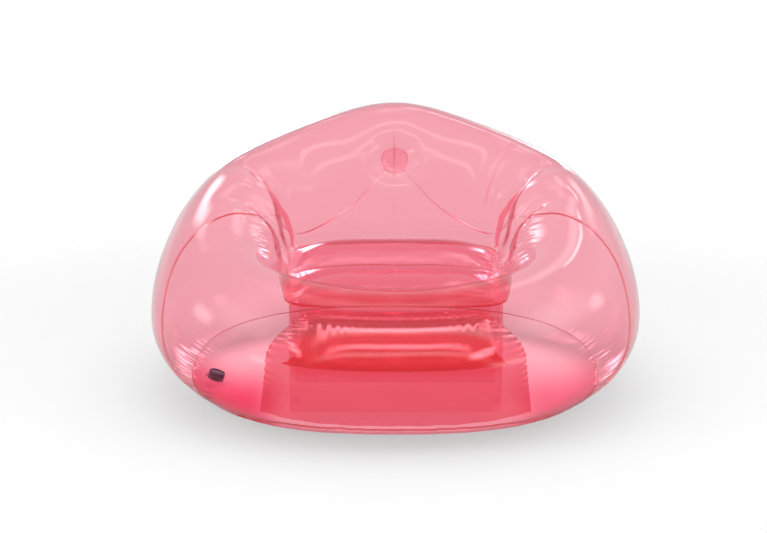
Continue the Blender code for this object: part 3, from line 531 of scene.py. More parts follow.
class Relief:
    """All the seams, gathers and creases of the outer film."""

    def __init__(self) -> None:
        self.seams: list[Floats] = []
        self.gathers: list[Pucker] = []
        self._seams()
        self.creases = self._main_creases() + self._arm_creases() + self._back_creases()

    def _seams(self) -> None:
        """Gathers along the welds between the panels."""
        angle, place = SEAM.path(4, 8, 8)
        rim = SEAM.rim(np.array([FORM.button.seam_degrees]))
        right = FORM.skin(np.append(angle, rim[0]), np.append(place, rim[1]))
        for side in (1.0, -1.0):
            line = right * np.array([side, 1.0, 1.0])
            self.seams.append(line)
            self.gathers.append(Pucker(line, 0.0006, 0.030, 0.014, 0.7 + side, 0.0004))
            self.gathers.append(Pucker(line, 0.0030, 0.034, 0.050, 2.6 + side, 0.0, span=(-0.1, 0.10)))
        back = np.linspace(SEAM.base_share, SEAM.rim(np.array([90.0]))[1, 0], 160)
        centre = FORM.skin(np.full_like(back, math.pi), back)
        self.seams.append(centre)
        self.gathers.append(Pucker(centre, 0.0006, 0.034, 0.014, 0.3, 0.0004))
        turn = np.linspace(-math.pi, math.pi, 420)
        base = FORM.skin(turn, np.full_like(turn, SEAM.base_share))
        self.seams.append(base)
        self.gathers.append(Pucker(base, 0.0030, 0.036, 0.040, 0.9, 0.0010))
        seat = FORM.skin(turn, np.full_like(turn, float(SEAT)))
        self.seams.append(seat)
        self.gathers.append(Pucker(seat, 0.0030, 0.030, 0.040, 1.4, 0.0))

    def _main_creases(self) -> list[Crease]:
        """The long creases where the back turns into the arms, and the fine one beside the right."""
        left = ((117, 1.93), (115, 2.08), (114.2, 2.27), (115.5, 2.49), (118.5, 2.77), (122.5, 3.13))
        right = ((114.3, 1.94), (112, 2.16), (113, 2.37), (117.5, 2.70), (121, 2.94), (124.8, 3.33))
        foot = ((127.2, 3.75), (127.6, 3.99))
        second = ((90, 1.95), (90.5, 2.3), (91.5, 2.5), (93.5, 2.7), (97, 2.95), (101, 3.4), (102, 3.97))
        thin = ((129.2, 1.98), (127, 2.57), (128.5, 2.88), (132, 3.36), (133.5, 3.66))
        long_ends = (0.60, 0.03)
        return [
            Crease(left + ((125.5, 3.47),) + foot, 0.014, 0.0060, 0.018, 0.0060, 0.20, (-1.0,), long_ends),
            Crease(right + foot, 0.014, 0.0060, 0.018, 0.0060, 0.20, (1.0,), long_ends),
            Crease(second, 0.008, 0.0050, 0.014, 0.0030, 0.25, ends=(0.40, 0.04)),
            Crease(thin, 0.0030, 0.0035, 0.0060, 0.0009, 0.20, (1.0,), (0.15, 0.15)),
        ]

    def _arm_creases(self) -> list[Crease]:
        """Short creases that run together into the seat's corners from the arms and the facets."""
        made = [
            Crease(((104, 2.70), (108, 3.05), (113, 3.45), (117, 3.95)), 0.0040, 0.004, 0.007, 0.0014),
            Crease(((98, 2.85), (104, 3.15), (109, 3.55), (111, 3.95)), 0.0030, 0.004, 0.006, 0.0010),
            Crease(((108, 2.15), (110, 2.45), (114, 2.85), (119, 3.25)), 0.0020, 0.005, 0.009),
            Crease(((99, 2.05), (100, 2.35), (102, 2.65), (105, 2.95)), 0.0015, 0.005, 0.009),
        ]
        for index in range(9):
            start, late = 83.5 - 3.6 * index, 2.22 + 0.017 * index
            drift = 0.8 * math.sin(2.3 * index)
            knots = (
                (start, late),
                (start + 3.0 + drift, late + 0.35),
                (start + 8.5, late + 0.80),
                (start + 14.0 - drift, late + 1.20),
            )
            deep = 0.0030 - 0.0001 * index + 0.0006 * math.sin(1.7 * index)
            made.append(Crease(knots, deep, 0.0045, 0.0060, bank=0.4, ends=(0.20, 0.30)))
        return made

    def _back_creases(self) -> list[Crease]:
        """Fine upright creases on the backrest beside the main ones."""
        made = []
        for index in range(6):
            start = 121.0 + 2.1 * index
            knots = (
                (start, 2.50 + 0.02 * index),
                (start + 0.8, 2.72),
                (start + 1.8 + 0.4 * math.sin(3.0 * index), 2.95),
                (start + 3.6, 3.22 + 0.03 * index),
            )
            made.append(Crease(knots, 0.0022 - 0.0002 * index, 0.0035, 0.0045, bank=0.4, sides=(-1.0,)))
        for index in range(3):
            knots = ((123.0 + 3 * index, 2.40), (124.0 + 3 * index, 2.75), (127.0 + 3 * index, 3.15))
            made.append(Crease(knots, 0.0010, 0.0035, 0.0050, bank=0.4, sides=(1.0,)))
        return made

    def radial(self, points: Floats) -> Floats:
        """Gathers round the button: waves round its axis that die away outside its rim."""
        middle, axis, right, up = FORM.button_frame()
        aside = points - middle
        across, upward = aside @ right, aside @ up
        radius, turn = np.hypot(across, upward), np.arctan2(upward, across)
        facing = aside @ axis > -0.03
        wave = (1 - np.abs(np.cos(7 * turn + 0.7 * np.sin(3 * turn + 0.6)))) ** 0.8
        out = np.clip((radius - FORM.button.radius) / 0.02, 0, 1)
        return np.where(facing, 0.0022 * wave * out * np.exp(-((radius / 0.080) ** 2)), 0.0)

    def depth(self, points: Floats, angle: Floats, place: Floats) -> Floats:
        """Depth of everything pressed into the film, none at the seat's edge itself.

        Args:
            points: N points on the skin.
            angle: their angles.
            place: their places.

        Returns:
            N depths.
        """
        radius = np.linalg.norm(points[:, :2], axis=1)
        total = sum(gather.depth(points) for gather in self.gathers)
        total = total + sum(crease.depth(angle, place, radius) for crease in self.creases)
        total = total + self.radial(points) + swell(points, 0.0004, 0.30)
        return total * ease((SEAT - place) / 0.06)

    def doubling(self, points: Floats, angle: Floats, place: Floats) -> Floats:
        """Least share of a band's half width at which a point lies from doubled film."""
        radius = np.linalg.norm(points[:, :2], axis=1)
        return np.min([crease.doubling(angle, place, radius) for crease in self.creases], axis=0)

    def weld(self, points: Floats) -> Floats:
        """Distance from the nearest welded line."""
        return np.min([along_line(points, seam)[0] for seam in self.seams], axis=0)


RELIEF = Relief()


def dressed(angle: Floats, place: Floats) -> Floats:
    """The fine outer film: the skin moved in along its normal by the relief's depth."""
    points, normal = FORM.skin(angle, place), FORM.skin_normal(angle, place)
    flat = points.reshape(-1, 3)
    depth = RELIEF.depth(flat, np.ravel(angle), np.ravel(place))
    return (flat - normal.reshape(-1, 3) * depth[:, None]).reshape(points.shape)


def doubled(angle: Floats, place: Floats) -> Floats:
    """Shares of a doubled band's half width at the points of a grid of angles and places."""
    flat = FORM.skin(angle, place).reshape(-1, 3)
    return RELIEF.doubling(flat, np.ravel(angle), np.ravel(place))


def grid_quads(rows: int, columns: int, closed: bool = False) -> Floats:
    """Faces of a grid whose columns run right and rows upwards, seen from outside.

    Args:
        rows: points up.
        columns: points along.
        closed: join the last column to the first.

    Returns:
        Four point numbers a face.
    """
    index = np.arange(rows * columns).reshape(rows, columns)
    if closed:
        index = np.hstack([index, index[:, :1]])
    return np.stack([index[:-1, :-1], index[:-1, 1:], index[1:, 1:], index[1:, :-1]], -1).reshape(-1, 4)


def grid_loop(rows: int, columns: int) -> Floats:
    """Edge of an open grid, with the grid on its left."""
    index = np.arange(rows * columns).reshape(rows, columns)
    return np.concatenate([index[0, :-1], index[:-1, -1], index[-1, :0:-1], index[:0:-1, 0]])


def with_fins(
    points: Floats, normals: Floats, quads: Floats, loops: Sequence[Floats]
) -> tuple[Floats, Floats]:
    """Set each edge back by half the gap and turn it in along its normal as a fin.

    Args:
        points: the panel's points.
        normals: the normals at the points of its loops.
        quads: its faces.
        loops: its edges, each with the panel on its left.

    Returns:
        The points and faces with their fins.
    """
    sheet, rows, faces, count = points.copy(), [], [quads], len(points)
    for loop in loops:
        edge, normal = points[loop], normals[loop]
        before, after = unit(edge - np.roll(edge, 1, axis=0)), unit(np.roll(edge, -1, axis=0) - edge)
        inner = unit(np.cross(normal, before)), unit(np.cross(normal, after))
        spread = 1 + np.sum(inner[0] * inner[1], axis=-1, keepdims=True)
        sheet[loop] = edge + (inner[0] + inner[1]) / np.maximum(spread, 0.5) * FILM.gap / 2
        last = loop
        for share in (0.5, 1.0):
            rows.append(sheet[loop] - normal * FILM.fin * share)
            here = np.arange(count, count + len(loop))
            count += len(loop)
            faces.append(np.stack([np.roll(last, -1), last, here, np.roll(here, -1)], -1))
            last = here
    return np.concatenate([sheet, *rows]), np.concatenate(faces)


def make_piece(
    name: str,
    points: Floats,
    quads: Floats,
    finish: "Finish",
    body: Body,
    nodes: Sequence[str],
    thickness: Optional[float] = None,
    weld: Optional[Floats] = None,
    doubling: Optional[Floats] = None,
    sharp: float = 50.0,
) -> bpy.types.Object:
    """Put a mesh into the scene, dress it and let it ride on its body.

    Args:
        name: the piece's name.
        points: its points, in place.
        quads: its faces, as an array or a list of tuples.
        finish: what it is made of.
        body: the CAD body that it rides on.
        nodes: the CAD nodes that it stands for.
        thickness: film thickness given inwards by a modifier, or None for a closed mesh.
        weld: distance of each point from the nearest weld, kept as an attribute.
        doubling: share of the nearest doubled band's half width, kept as an attribute; on the front web it carries
            painted shade on the upper part instead.
        sharp: faces that meet at more than this many degrees keep a sharp edge.

    Returns:
        The new object.
    """
    mesh = bpy.data.meshes.new(name)
    mesh.from_pydata(np.asarray(points).tolist(), [], [list(map(int, face)) for face in quads])
    mesh.validate()
    mesh.shade_smooth()
    mesh.set_sharp_from_angle(angle=math.radians(sharp))
    for label, given in (("weld", weld), ("doubled", doubling)):
        value = np.full(len(mesh.vertices), FILM.away, np.float32)
        if given is not None:
            value[: len(given)] = given
        mesh.attributes.new(label, "FLOAT", "POINT").data.foreach_set("value", value)
    piece = bpy.data.objects.new(name, mesh)
    bpy.context.scene.collection.objects.link(piece)
    mesh.materials.append(finish.material())
    if thickness is not None:
        wall = piece.modifiers.new("film", "SOLIDIFY")
        wall.thickness = thickness
        wall.offset = -1
    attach(piece, body.value)
    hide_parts(*nodes)
    log.info("%s: %d points", name, len(points))
    return piece


def sockets(node: bpy.types.Node, **values: object) -> bpy.types.Node:
    """Set a node's inputs by name, with _ for a space."""
    for name, value in values.items():
        node.inputs[name.replace("_", " ")].default_value = value
    return node


class NodeTree:
    """Short calls for adding and joining nodes in one tree."""

    def __init__(self, tree: bpy.types.NodeTree) -> None:
        self.tree = tree

    def add(self, kind: str, **values: object) -> bpy.types.Node:
        """A node with inputs set by name."""
        return sockets(self.tree.nodes.new(kind), **values)

    def join(self, source: bpy.types.NodeSocket, target: bpy.types.NodeSocket) -> None:
        """Link one socket to another."""
        self.tree.links.new(source, target)

    def sum(self, operation: str, first: object, second: object) -> bpy.types.NodeSocket:
        """A math node of two sockets or numbers.

        Args:
            operation: Blender's name for the operation.
            first: a socket or a number.
            second: a socket or a number.

        Returns:
            The result's socket.
        """
        node = self.tree.nodes.new("ShaderNodeMath")
        node.operation = operation
        for socket, value in zip(node.inputs, (first, second)):
            if isinstance(value, bpy.types.NodeSocket):
                self.join(value, socket)
            else:
                socket.default_value = value
        return node.outputs[0]

    def blend(self, share: object, first: object, second: object) -> bpy.types.NodeSocket:
        """A colour between two by a share, each of them a socket or a colour."""
        node = self.tree.nodes.new("ShaderNodeMix")
        node.data_type = "RGBA"
        for socket, value in zip((node.inputs[0], node.inputs[6], node.inputs[7]), (share, first, second)):
            if isinstance(value, bpy.types.NodeSocket):
                self.join(value, socket)
            else:
                socket.default_value = value if isinstance(value, float) else (*value, 1.0)
        return node.outputs[2]


def surface_group() -> bpy.types.NodeTree:
    """Group shared by all finishes: smears in the gloss, slow cloudiness and fine unevenness."""
    name = "moulded and rolled plastic"
    if name in bpy.data.node_groups:
        return bpy.data.node_groups[name]
    tree = bpy.data.node_groups.new(name, "ShaderNodeTree")
    for label, kind, value in (
        ("Size", "NodeSocketFloat", 1.0),
        ("Roughness", "NodeSocketFloat", 0.06),
        ("Smears", "NodeSocketFloat", 0.05),
    ):
        socket = tree.interface.new_socket(label, in_out="INPUT", socket_type=kind)
        socket.default_value = value
    for label in ("Roughness", "Cloud", "Height"):
        tree.interface.new_socket(label, in_out="OUTPUT", socket_type="NodeSocketFloat")
    nodes = NodeTree(tree)
    given, result = nodes.add("NodeGroupInput"), nodes.add("NodeGroupOutput")
    place = nodes.add("ShaderNodeTexCoord")
    scaled = nodes.add("ShaderNodeVectorMath")
    scaled.operation = "SCALE"
    nodes.join(place.outputs["Object"], scaled.inputs[0])
    nodes.join(given.outputs["Size"], scaled.inputs["Scale"])
    smear = nodes.add("ShaderNodeTexNoise", Scale=14.0, Detail=2.0, Roughness=0.6)
    cloud = nodes.add("ShaderNodeTexNoise", Scale=3.5, Detail=1.0)
    grain = nodes.add("ShaderNodeTexNoise", Scale=30.0, Detail=1.0)
    for node in (smear, cloud, grain):
        nodes.join(scaled.outputs[0], node.inputs["Vector"])
    rough = nodes.sum("MULTIPLY", smear.outputs[0], given.outputs["Smears"])
    nodes.join(nodes.sum("ADD", rough, given.outputs["Roughness"]), result.inputs["Roughness"])
    nodes.join(cloud.outputs[0], result.inputs["Cloud"])
    nodes.join(grain.outputs[0], result.inputs["Height"])
    return tree


@dataclass(frozen=True)
class Finish:
    """Base of every finish: a name and the method that makes its material once."""

    name: str

    def build(self, nodes: NodeTree, surface: bpy.types.Node) -> bpy.types.NodeSocket:
        """Make the shader and return its output socket."""
        raise NotImplementedError

    def material(self) -> bpy.types.Material:
        """The material, made at its first use."""
        if self.name in bpy.data.materials:
            return bpy.data.materials[self.name]
        made = bpy.data.materials.new(self.name)
        made.use_nodes = True
        made.node_tree.nodes.clear()
        nodes = NodeTree(made.node_tree)
        surface = made.node_tree.nodes.new("ShaderNodeGroup")
        surface.node_tree = surface_group()
        output = nodes.add("ShaderNodeOutputMaterial")
        nodes.join(self.build(nodes, surface), output.inputs["Surface"])
        return made


@dataclass(frozen=True)
class TintedFilm(Finish):
    """Clear tinted film: each face passes the root of the film's tint and mirrors by its angle.

    The mirrored share is head_on + edge facing^5. The tint is deeper at a slant, where light
    goes a longer way through the film, along the welds, and in folds where the film lies doubled; the
    same doubled mask also carries painted shade on the front web. It is multiplied by the painted
    shade pool tint low in the front, most at the left: a pool of deeper pink painted in for the coloured
    light and shade that gather under the chair. The light that it lets through to the floor is grey, as
    the real chair's shadow is.
    """

    tint: Colour = (0.985, 0.635, 0.69)
    haze: float = 0.012
    haze_colour: Colour = (0.95, 0.38, 0.46)
    roughness: float = 0.03
    smears: float = 0.05
    bump: float = 0.0003
    head_on: float = 0.014
    edge: float = 0.98
    shade: float = 0.86
    folds: float = 2.7
    welds: float = 2.4
    weld_width: float = 0.0008
    # Painted shade: a pool of deeper pink low in the front, most at the left, for the coloured light and shade under
    # the chair.
    painted_shade_pool: Colour = (1.0, 1.0, 1.0)
    painted_shade_pool_shares: tuple[float, float, float] = (1.0, 0.06, 0.60)

    def build(self, nodes: NodeTree, surface: bpy.types.Node) -> bpy.types.NodeSocket:
        """Transparent and glossy shaders mixed by angle, with a thin haze over them."""
        sockets(surface, Roughness=self.roughness, Smears=self.smears)
        bump = nodes.add("ShaderNodeBump", Strength=0.3, Distance=self.bump)
        nodes.join(surface.outputs["Height"], bump.inputs["Height"])
        facing = nodes.add("ShaderNodeLayerWeight", Blend=0.5).outputs["Facing"]
        clear = nodes.add("ShaderNodeBsdfTransparent")
        nodes.join(self._passed(nodes, surface, facing), clear.inputs["Color"])
        gloss = nodes.add("ShaderNodeBsdfAnisotropic", Color=(1, 1, 1, 1))
        nodes.join(surface.outputs["Roughness"], gloss.inputs["Roughness"])
        nodes.join(bump.outputs["Normal"], gloss.inputs["Normal"])
        mirrored = nodes.sum("POWER", facing, 5.0)
        mirrored = nodes.sum("MULTIPLY", mirrored, self.edge)
        mirrored = nodes.sum("ADD", mirrored, self.head_on)
        film = nodes.add("ShaderNodeMixShader")
        nodes.join(mirrored, film.inputs[0])
        nodes.join(clear.outputs[0], film.inputs[1])
        nodes.join(gloss.outputs[0], film.inputs[2])
        milk = nodes.add("ShaderNodeBsdfPrincipled", Roughness=0.5)
        milk.inputs["Base Color"].default_value = (*self.haze_colour, 1.0)
        hazy = nodes.add("ShaderNodeMixShader", Fac=self.haze)
        nodes.join(film.outputs[0], hazy.inputs[1])
        nodes.join(milk.outputs[0], hazy.inputs[2])
        return hazy.outputs[0]

    def _passed(
        self, nodes: NodeTree, surface: bpy.types.Node, facing: bpy.types.NodeSocket
    ) -> bpy.types.NodeSocket:
        """Colour of the light that passes one face.

        Args:
            nodes: the material's nodes.
            surface: the shared group's node.
            facing: 0 where the face is seen head on and 1 at its edge.

        Returns:
            The colour's socket.
        """
        half = tuple(math.sqrt(part) for part in self.tint)
        slant = nodes.sum("POWER", facing, 2.0)
        colour = nodes.blend(slant, half, tuple(part**1.3 for part in half))
        cloud = nodes.sum("MULTIPLY", surface.outputs["Cloud"], 0.10)
        colour = nodes.blend(cloud, colour, tuple(part**2 for part in half))
        # The weld mask deepens the tint along welds; the doubled mask deepens it in real folds, and on the front web
        # it paints shade.
        for label, width, strength in (
            ("weld", self.weld_width, self.welds),
            ("doubled", 1.0, self.folds),
        ):
            given = nodes.add("ShaderNodeAttribute")
            given.attribute_name = label
            mask = nodes.add("ShaderNodeMapRange", From_Min=width * 1.25, From_Max=width * 0.65)
            mask.interpolation_type = "SMOOTHSTEP"
            nodes.join(given.outputs["Fac"], mask.inputs["Value"])
            deep = tuple(part**strength for part in half)
            colour = nodes.blend(mask.outputs["Result"], colour, deep)
        # Painted shade: the pool of deeper pink under the chair is multiplied in here.
        if self.painted_shade_pool != (1.0, 1.0, 1.0):
            colour = self._with_painted_shade_pool(nodes, colour)
        path = nodes.add("ShaderNodeLightPath").outputs
        lighting = nodes.sum("MAXIMUM", path["Is Shadow Ray"], path["Is Diffuse Ray"])
        return nodes.blend(lighting, colour, (self.shade,) * 3)

    def _with_painted_shade_pool(self, nodes: NodeTree, colour: bpy.types.NodeSocket) -> bpy.types.NodeSocket:
        """Painted shade: the colour multiplied by the root of the painted shade pool tint, a pool of deeper pink
        painted in for the coloured light and shade under the chair.

        The share grows from none at the back to the front, and from the middle's share to those at
        the left and the right.
        """
        place = nodes.add("ShaderNodeSeparateXYZ")
        nodes.join(nodes.add("ShaderNodeTexCoord").outputs["Object"], place.inputs[0])
        left, middle, right = self.painted_shade_pool_shares
        parts = []
        for axis, start, end, low, high in (
            ("Y", 0.16, -0.26, 0.0, 1.0),
            ("X", -0.28, -0.42, middle, left),
            ("X", 0.28, 0.42, middle, right),
        ):
            part = nodes.add("ShaderNodeMapRange", From_Min=start, From_Max=end)
            part.interpolation_type = "SMOOTHSTEP"
            sockets(part, To_Min=low, To_Max=high)
            nodes.join(place.outputs[axis], part.inputs["Value"])
            parts.append(part.outputs["Result"])
        share = nodes.sum("MULTIPLY", parts[0], nodes.sum("MAXIMUM", parts[1], parts[2]))
        product = nodes.tree.nodes.new("ShaderNodeMix")
        product.data_type, product.blend_type = "RGBA", "MULTIPLY"
        nodes.join(share, product.inputs[0])
        nodes.join(colour, product.inputs[6])
        product.inputs[7].default_value = (*(math.sqrt(part) for part in self.painted_shade_pool), 1.0)
        return product.outputs[2]


@dataclass(frozen=True)
class MouldedPlastic(Finish):
    """Dark soft moulded plastic with a satin face and paler worn patches at random."""

    colour: Colour = (0.05, 0.025, 0.11)
    worn: Colour = (0.16, 0.10, 0.26)
    roughness: float = 0.28

    def build(self, nodes: NodeTree, surface: bpy.types.Node) -> bpy.types.NodeSocket:
        """A Principled shader whose colour, gloss and fine bumps come from the shared group."""
        sockets(surface, Size=6.0, Roughness=self.roughness, Smears=0.15)
        bump = nodes.add("ShaderNodeBump", Strength=0.2, Distance=0.0003)
        nodes.join(surface.outputs["Height"], bump.inputs["Height"])
        shader = nodes.add("ShaderNodeBsdfPrincipled")
        share = nodes.sum("MULTIPLY", surface.outputs["Cloud"], 0.4)
        nodes.join(nodes.blend(share, self.colour, self.worn), shader.inputs["Base Color"])
        nodes.join(surface.outputs["Roughness"], shader.inputs["Roughness"])
        nodes.join(bump.outputs["Normal"], shader.inputs["Normal"])
        return shader.outputs[0]


OUTER = TintedFilm("outer film")
REAR_FILM = TintedFilm("rear film", head_on=0.012)
# The base film carries the painted shade pool: deeper pink painted low in the front, most at the left, where coloured
# light and shade gather under the chair.
BASE_FILM = TintedFilm("base film", haze=0.004, head_on=0.012, edge=0.5, painted_shade_pool=(0.83, 0.058, 0.18))
SEAT_FILM = TintedFilm("seat film", tint=(0.985, 0.46, 0.54), haze=0.008, head_on=0.022, welds=2.0)
WEB_FILM = TintedFilm("web film", tint=(0.99, 0.72, 0.77), haze=0.003, head_on=0.006)
# The front web's film: its folds strength sets how deep the painted shade on its upper part is.
FRONT_WEB_FILM = TintedFilm("front web film", tint=(0.985, 0.72, 0.77), haze=0.003, head_on=0.006, folds=2.5)
DEEP_FILM = TintedFilm(
    "inner sheet film", tint=(0.965, 0.42, 0.48), haze=0.004, head_on=0.11, welds=4.0, weld_width=0.0018
)
ROLL_FILM = TintedFilm("roll film", tint=(0.90, 0.12, 0.17), haze=0.002, head_on=0.002)
STRAP_FILM = TintedFilm("strap film", tint=(0.99, 0.90, 0.92), haze=0.003, head_on=0.010)
CLEAR = TintedFilm("clear soft plastic", tint=(0.97, 0.80, 0.84), haze=0.06)
DARK = MouldedPlastic("dark soft plastic")
MILKY = TintedFilm("milky flap film", tint=(0.62, 0.54, 0.68), haze=0.06, haze_colour=(0.8, 0.8, 0.82))


@dataclass
class OuterBody:
    """The four outer panels of film, each turned in along its welds."""

    front_cells: tuple[int, ...] = (3, 3, 20, 12, 5)
    front_rows: int = 100
    rear_cells: tuple[int, int, int] = (5, 24, 12)
    rear_columns: int = 200

    def build(self) -> None:
        """Make all the panels."""
        self.front()
        for left in (False, True):
            self.rear(left)
        self.base()

    def front(self) -> None:
        """Backrest below the button, inner arms, front rim and apron, round the well."""
        cells = SEAM
        finer_base, lower, arm, back, finer_arc = self.front_cells
        path = cells.path(lower, arm, back)
        base = np.linspace(0, path[0, 0], cells.base_cells * finer_base + 1)[:-1]
        degrees = np.linspace(FORM.button.seam_degrees, -90, cells.arc_cells * finer_arc + 1)
        arc, circle = cells.rim(degrees), cells.circle(degrees)
        join = np.linspace(0, 1, back + 1)[1:-1]
        link = path[:, -1:] + (arc[:, :1] - path[:, -1:]) * join
        angle = np.concatenate([base, path[0], link[0], arc[0]])
        place = np.concatenate([np.full(len(base), cells.base_share), path[1], link[1], arc[1]])
        stretches = (cells.base_cells, cells.lower_cells, cells.arm_cells, cells.back_cells, cells.arc_cells)
        inner = SeatForm().edge_at(np.repeat(self.front_cells, stretches))
        share = np.linspace(0, 1, 160)[:, None]
        fine_angle = angle + (inner - angle) * share
        fine_place = place + (SEAT - place) * share
        steps = np.linalg.norm(np.diff(FORM.skin(fine_angle, fine_place), axis=0), axis=-1)
        length = np.concatenate([np.zeros((1, len(angle))), np.cumsum(steps, axis=0)])
        shares = crowded(self.front_rows)
        angles, places = resampled(length, fine_angle, shares), resampled(length, fine_place, shares)
        places[-1] = SEAT
        full_angle = np.concatenate([angles, -angles[:, -2:0:-1]], axis=1)
        full_place = np.concatenate([places, places[:, -2:0:-1]], axis=1)
        grid = dressed(full_angle, full_place)
        rim = np.arange(len(angle) - len(circle), len(angle))
        middle = FORM.button_frame()[0]
        for columns, points in ((rim, circle), (-rim[:-1] % grid.shape[1], circle[:-1] * [-1, 1, 1])):
            grid[0, columns] = points
        normals = np.zeros_like(grid)
        normals[0] = FORM.skin_normal(full_angle[0], full_place[0])
        near = np.linalg.norm(grid[0] - middle, axis=-1) < FORM.button.radius * 1.02
        normals[0, near] = FORM.button_frame()[1]
        normals[-1] = (0, 0, 1)
        folds = doubled(full_angle, full_place)
        self.panel("front_panel_film", grid, normals, folds, ["front_panel"], closed=True)

    def rear(self, left: bool) -> None:
        """One side of the back: its outer face, its crest and the backrest above the diagonal seam.

        Args:
            left: make the left one, as a mirror image with its own relief.
        """
        cells = SEAM
        lower_cells, arm_cells, back_cells = self.rear_cells
        path = cells.path(*self.rear_cells)
        rim = cells.rim(np.array([FORM.button.seam_degrees]))
        join = np.linspace(0, 1, back_cells + 1)[1:]
        link = path[:, -1:] + (rim - path[:, -1:]) * join
        seam_angle, seam_place = np.append(path[0], link[0]), np.append(path[1], link[1])
        lower = cells.lower_cells * lower_cells
        outer = FORM.even_walk([math.pi] * 2, [cells.base_share, CREST], lower)
        top = cells.rim(np.array([90.0]))[1, 0]
        upper = cells.arm_cells * arm_cells + cells.back_cells * back_cells
        centre_place = np.concatenate([outer[1], np.linspace(CREST, top, upper + 1)[1:]])
        even = crowded(self.rear_columns, 0.5)
        density = 1 + 1.4 * np.exp(-(((even - 0.22) / 0.20) ** 2))
        spent = np.concatenate([[0.0], np.cumsum((density[1:] + density[:-1]) / 2 * np.diff(even))])
        run = np.interp(np.linspace(0, spent[-1], self.rear_columns), spent, even)[None]
        rim_width = math.pi - cells.rim(np.array([0.0]))[0, 0]
        rim_height = FORM.button.share - top
        straight_angle = seam_angle[:, None] + (math.pi - seam_angle)[:, None] * run
        straight_place = seam_place[:, None] + (centre_place - seam_place)[:, None] * run
        right, above = (math.pi - seam_angle) / rim_width, (FORM.button.share - seam_place) / rim_height
        reach, turn = np.hypot(right, above)[:, None], np.arctan2(above, right)[:, None]
        centre_reach = ((FORM.button.share - centre_place) / rim_height)[:, None]
        reach, turn = reach + (centre_reach - reach) * run, turn + (math.pi / 2 - turn) * run
        fanned_angle = math.pi - reach * np.cos(turn) * rim_width
        fanned_place = FORM.button.share - reach * np.sin(turn) * rim_height
        rows = np.arange(len(seam_angle))
        blend = np.clip((rows - lower) / (rows[-1] - lower), 0, 1)[:, None]
        angle = straight_angle + (fanned_angle - straight_angle) * blend
        place = straight_place + (fanned_place - straight_place) * blend
        side = -1.0 if left else 1.0
        grid = dressed(side * angle, place)
        normals = FORM.skin_normal(side * angle, place)
        sweep = FORM.button.seam_degrees
        grid[-1] = cells.circle(sweep + (90 - sweep) * run[0]) * [side, 1, 1]
        normals[-1] = FORM.button_frame()[1]
        folds = doubled(side * angle, place).reshape(angle.shape)
        if left:
            grid, normals, folds = grid[:, ::-1], normals[:, ::-1], folds[:, ::-1]
        name = "rear_left_panel" if left else "rear_right_panel"
        self.panel(name + "_film", grid, normals, folds, [name], closed=False)

    def panel(
        self,
        name: str,
        grid: Floats,
        normals: Floats,
        folds: Floats,
        nodes: Sequence[str],
        closed: bool,
    ) -> None:
        """Give a grid its fins, thickness and masks.

        Args:
            name: the piece's name.
            grid: rows by columns of points.
            normals: normals at its edges.
            folds: shares of a doubled band's half width at its points.
            nodes: the CAD nodes that it stands for.
            closed: its last column meets its first, and its first and last rows are its edges.
        """
        rows, columns = grid.shape[:2]
        if closed:
            across = np.arange(columns)
            loops = [across, (across + (rows - 1) * columns)[::-1]]
        else:
            loops = [grid_loop(rows, columns)]
        points = grid.reshape(-1, 3)
        weld = RELIEF.weld(points)
        points, quads = with_fins(
            points, normals.reshape(-1, 3), grid_quads(rows, columns, closed), loops
        )
        weld = np.concatenate([weld, np.zeros(len(points) - len(weld))])
        make_piece(
            name,
            points,
            quads,
            OUTER if closed else REAR_FILM,
            Body.CHAIR,
            nodes,
            FILM.thickness,
            weld,
            np.ravel(folds),
        )

    def base(self) -> None:
        """Floor of the chair and the rim that curves up to the base seam, round the valve's hole."""
        columns = 420
        turn = np.linspace(0, 2 * math.pi, columns, endpoint=False)
        turn = np.where(turn > math.pi, turn - 2 * math.pi, turn)
        foot = FORM.skin(turn, np.zeros_like(turn))
        flat = foot[None] * np.linspace(0.04, 1, 22)[:-1, None, None]
        places = SEAM.base_share * crowded(34, 0.4)
        rim = dressed(np.broadcast_to(turn, (len(places), columns)), places[:, None] + 0 * turn)
        rim[..., 2] = np.maximum(rim[..., 2], 0.0)
        rim[0] = foot
        grid = np.concatenate([flat, rim])
        grid = VALVE_PLACE.flattened(grid)
        rows = len(grid)
        normals = np.zeros_like(grid)
        normals[-1] = FORM.skin_normal(turn, np.full_like(turn, SEAM.base_share))
        loop = (np.arange(columns) + (rows - 1) * columns)[::-1]
        weld = RELIEF.weld(grid.reshape(-1, 3))
        points, quads = with_fins(
            grid.reshape(-1, 3), normals.reshape(-1, 3), grid_quads(rows, columns, True), [loop]
        )
        weld = np.concatenate([weld, np.zeros(len(points) - len(weld)), [FILM.away]])
        middle = len(points)
        points = np.vstack([points, np.zeros(3)])
        centre = [(middle, (index + 1) % columns, index) for index in range(columns)]
        quads, points, weld = VALVE_PLACE.holed(points, quads, weld)
        faces = [tuple(face) for face in quads.tolist()] + centre
        make_piece(
            "base_panel_film",
            points,
            faces,
            BASE_FILM,
            Body.CHAIR,
            ["base_panel"],
            FILM.thickness,
            weld,
        )


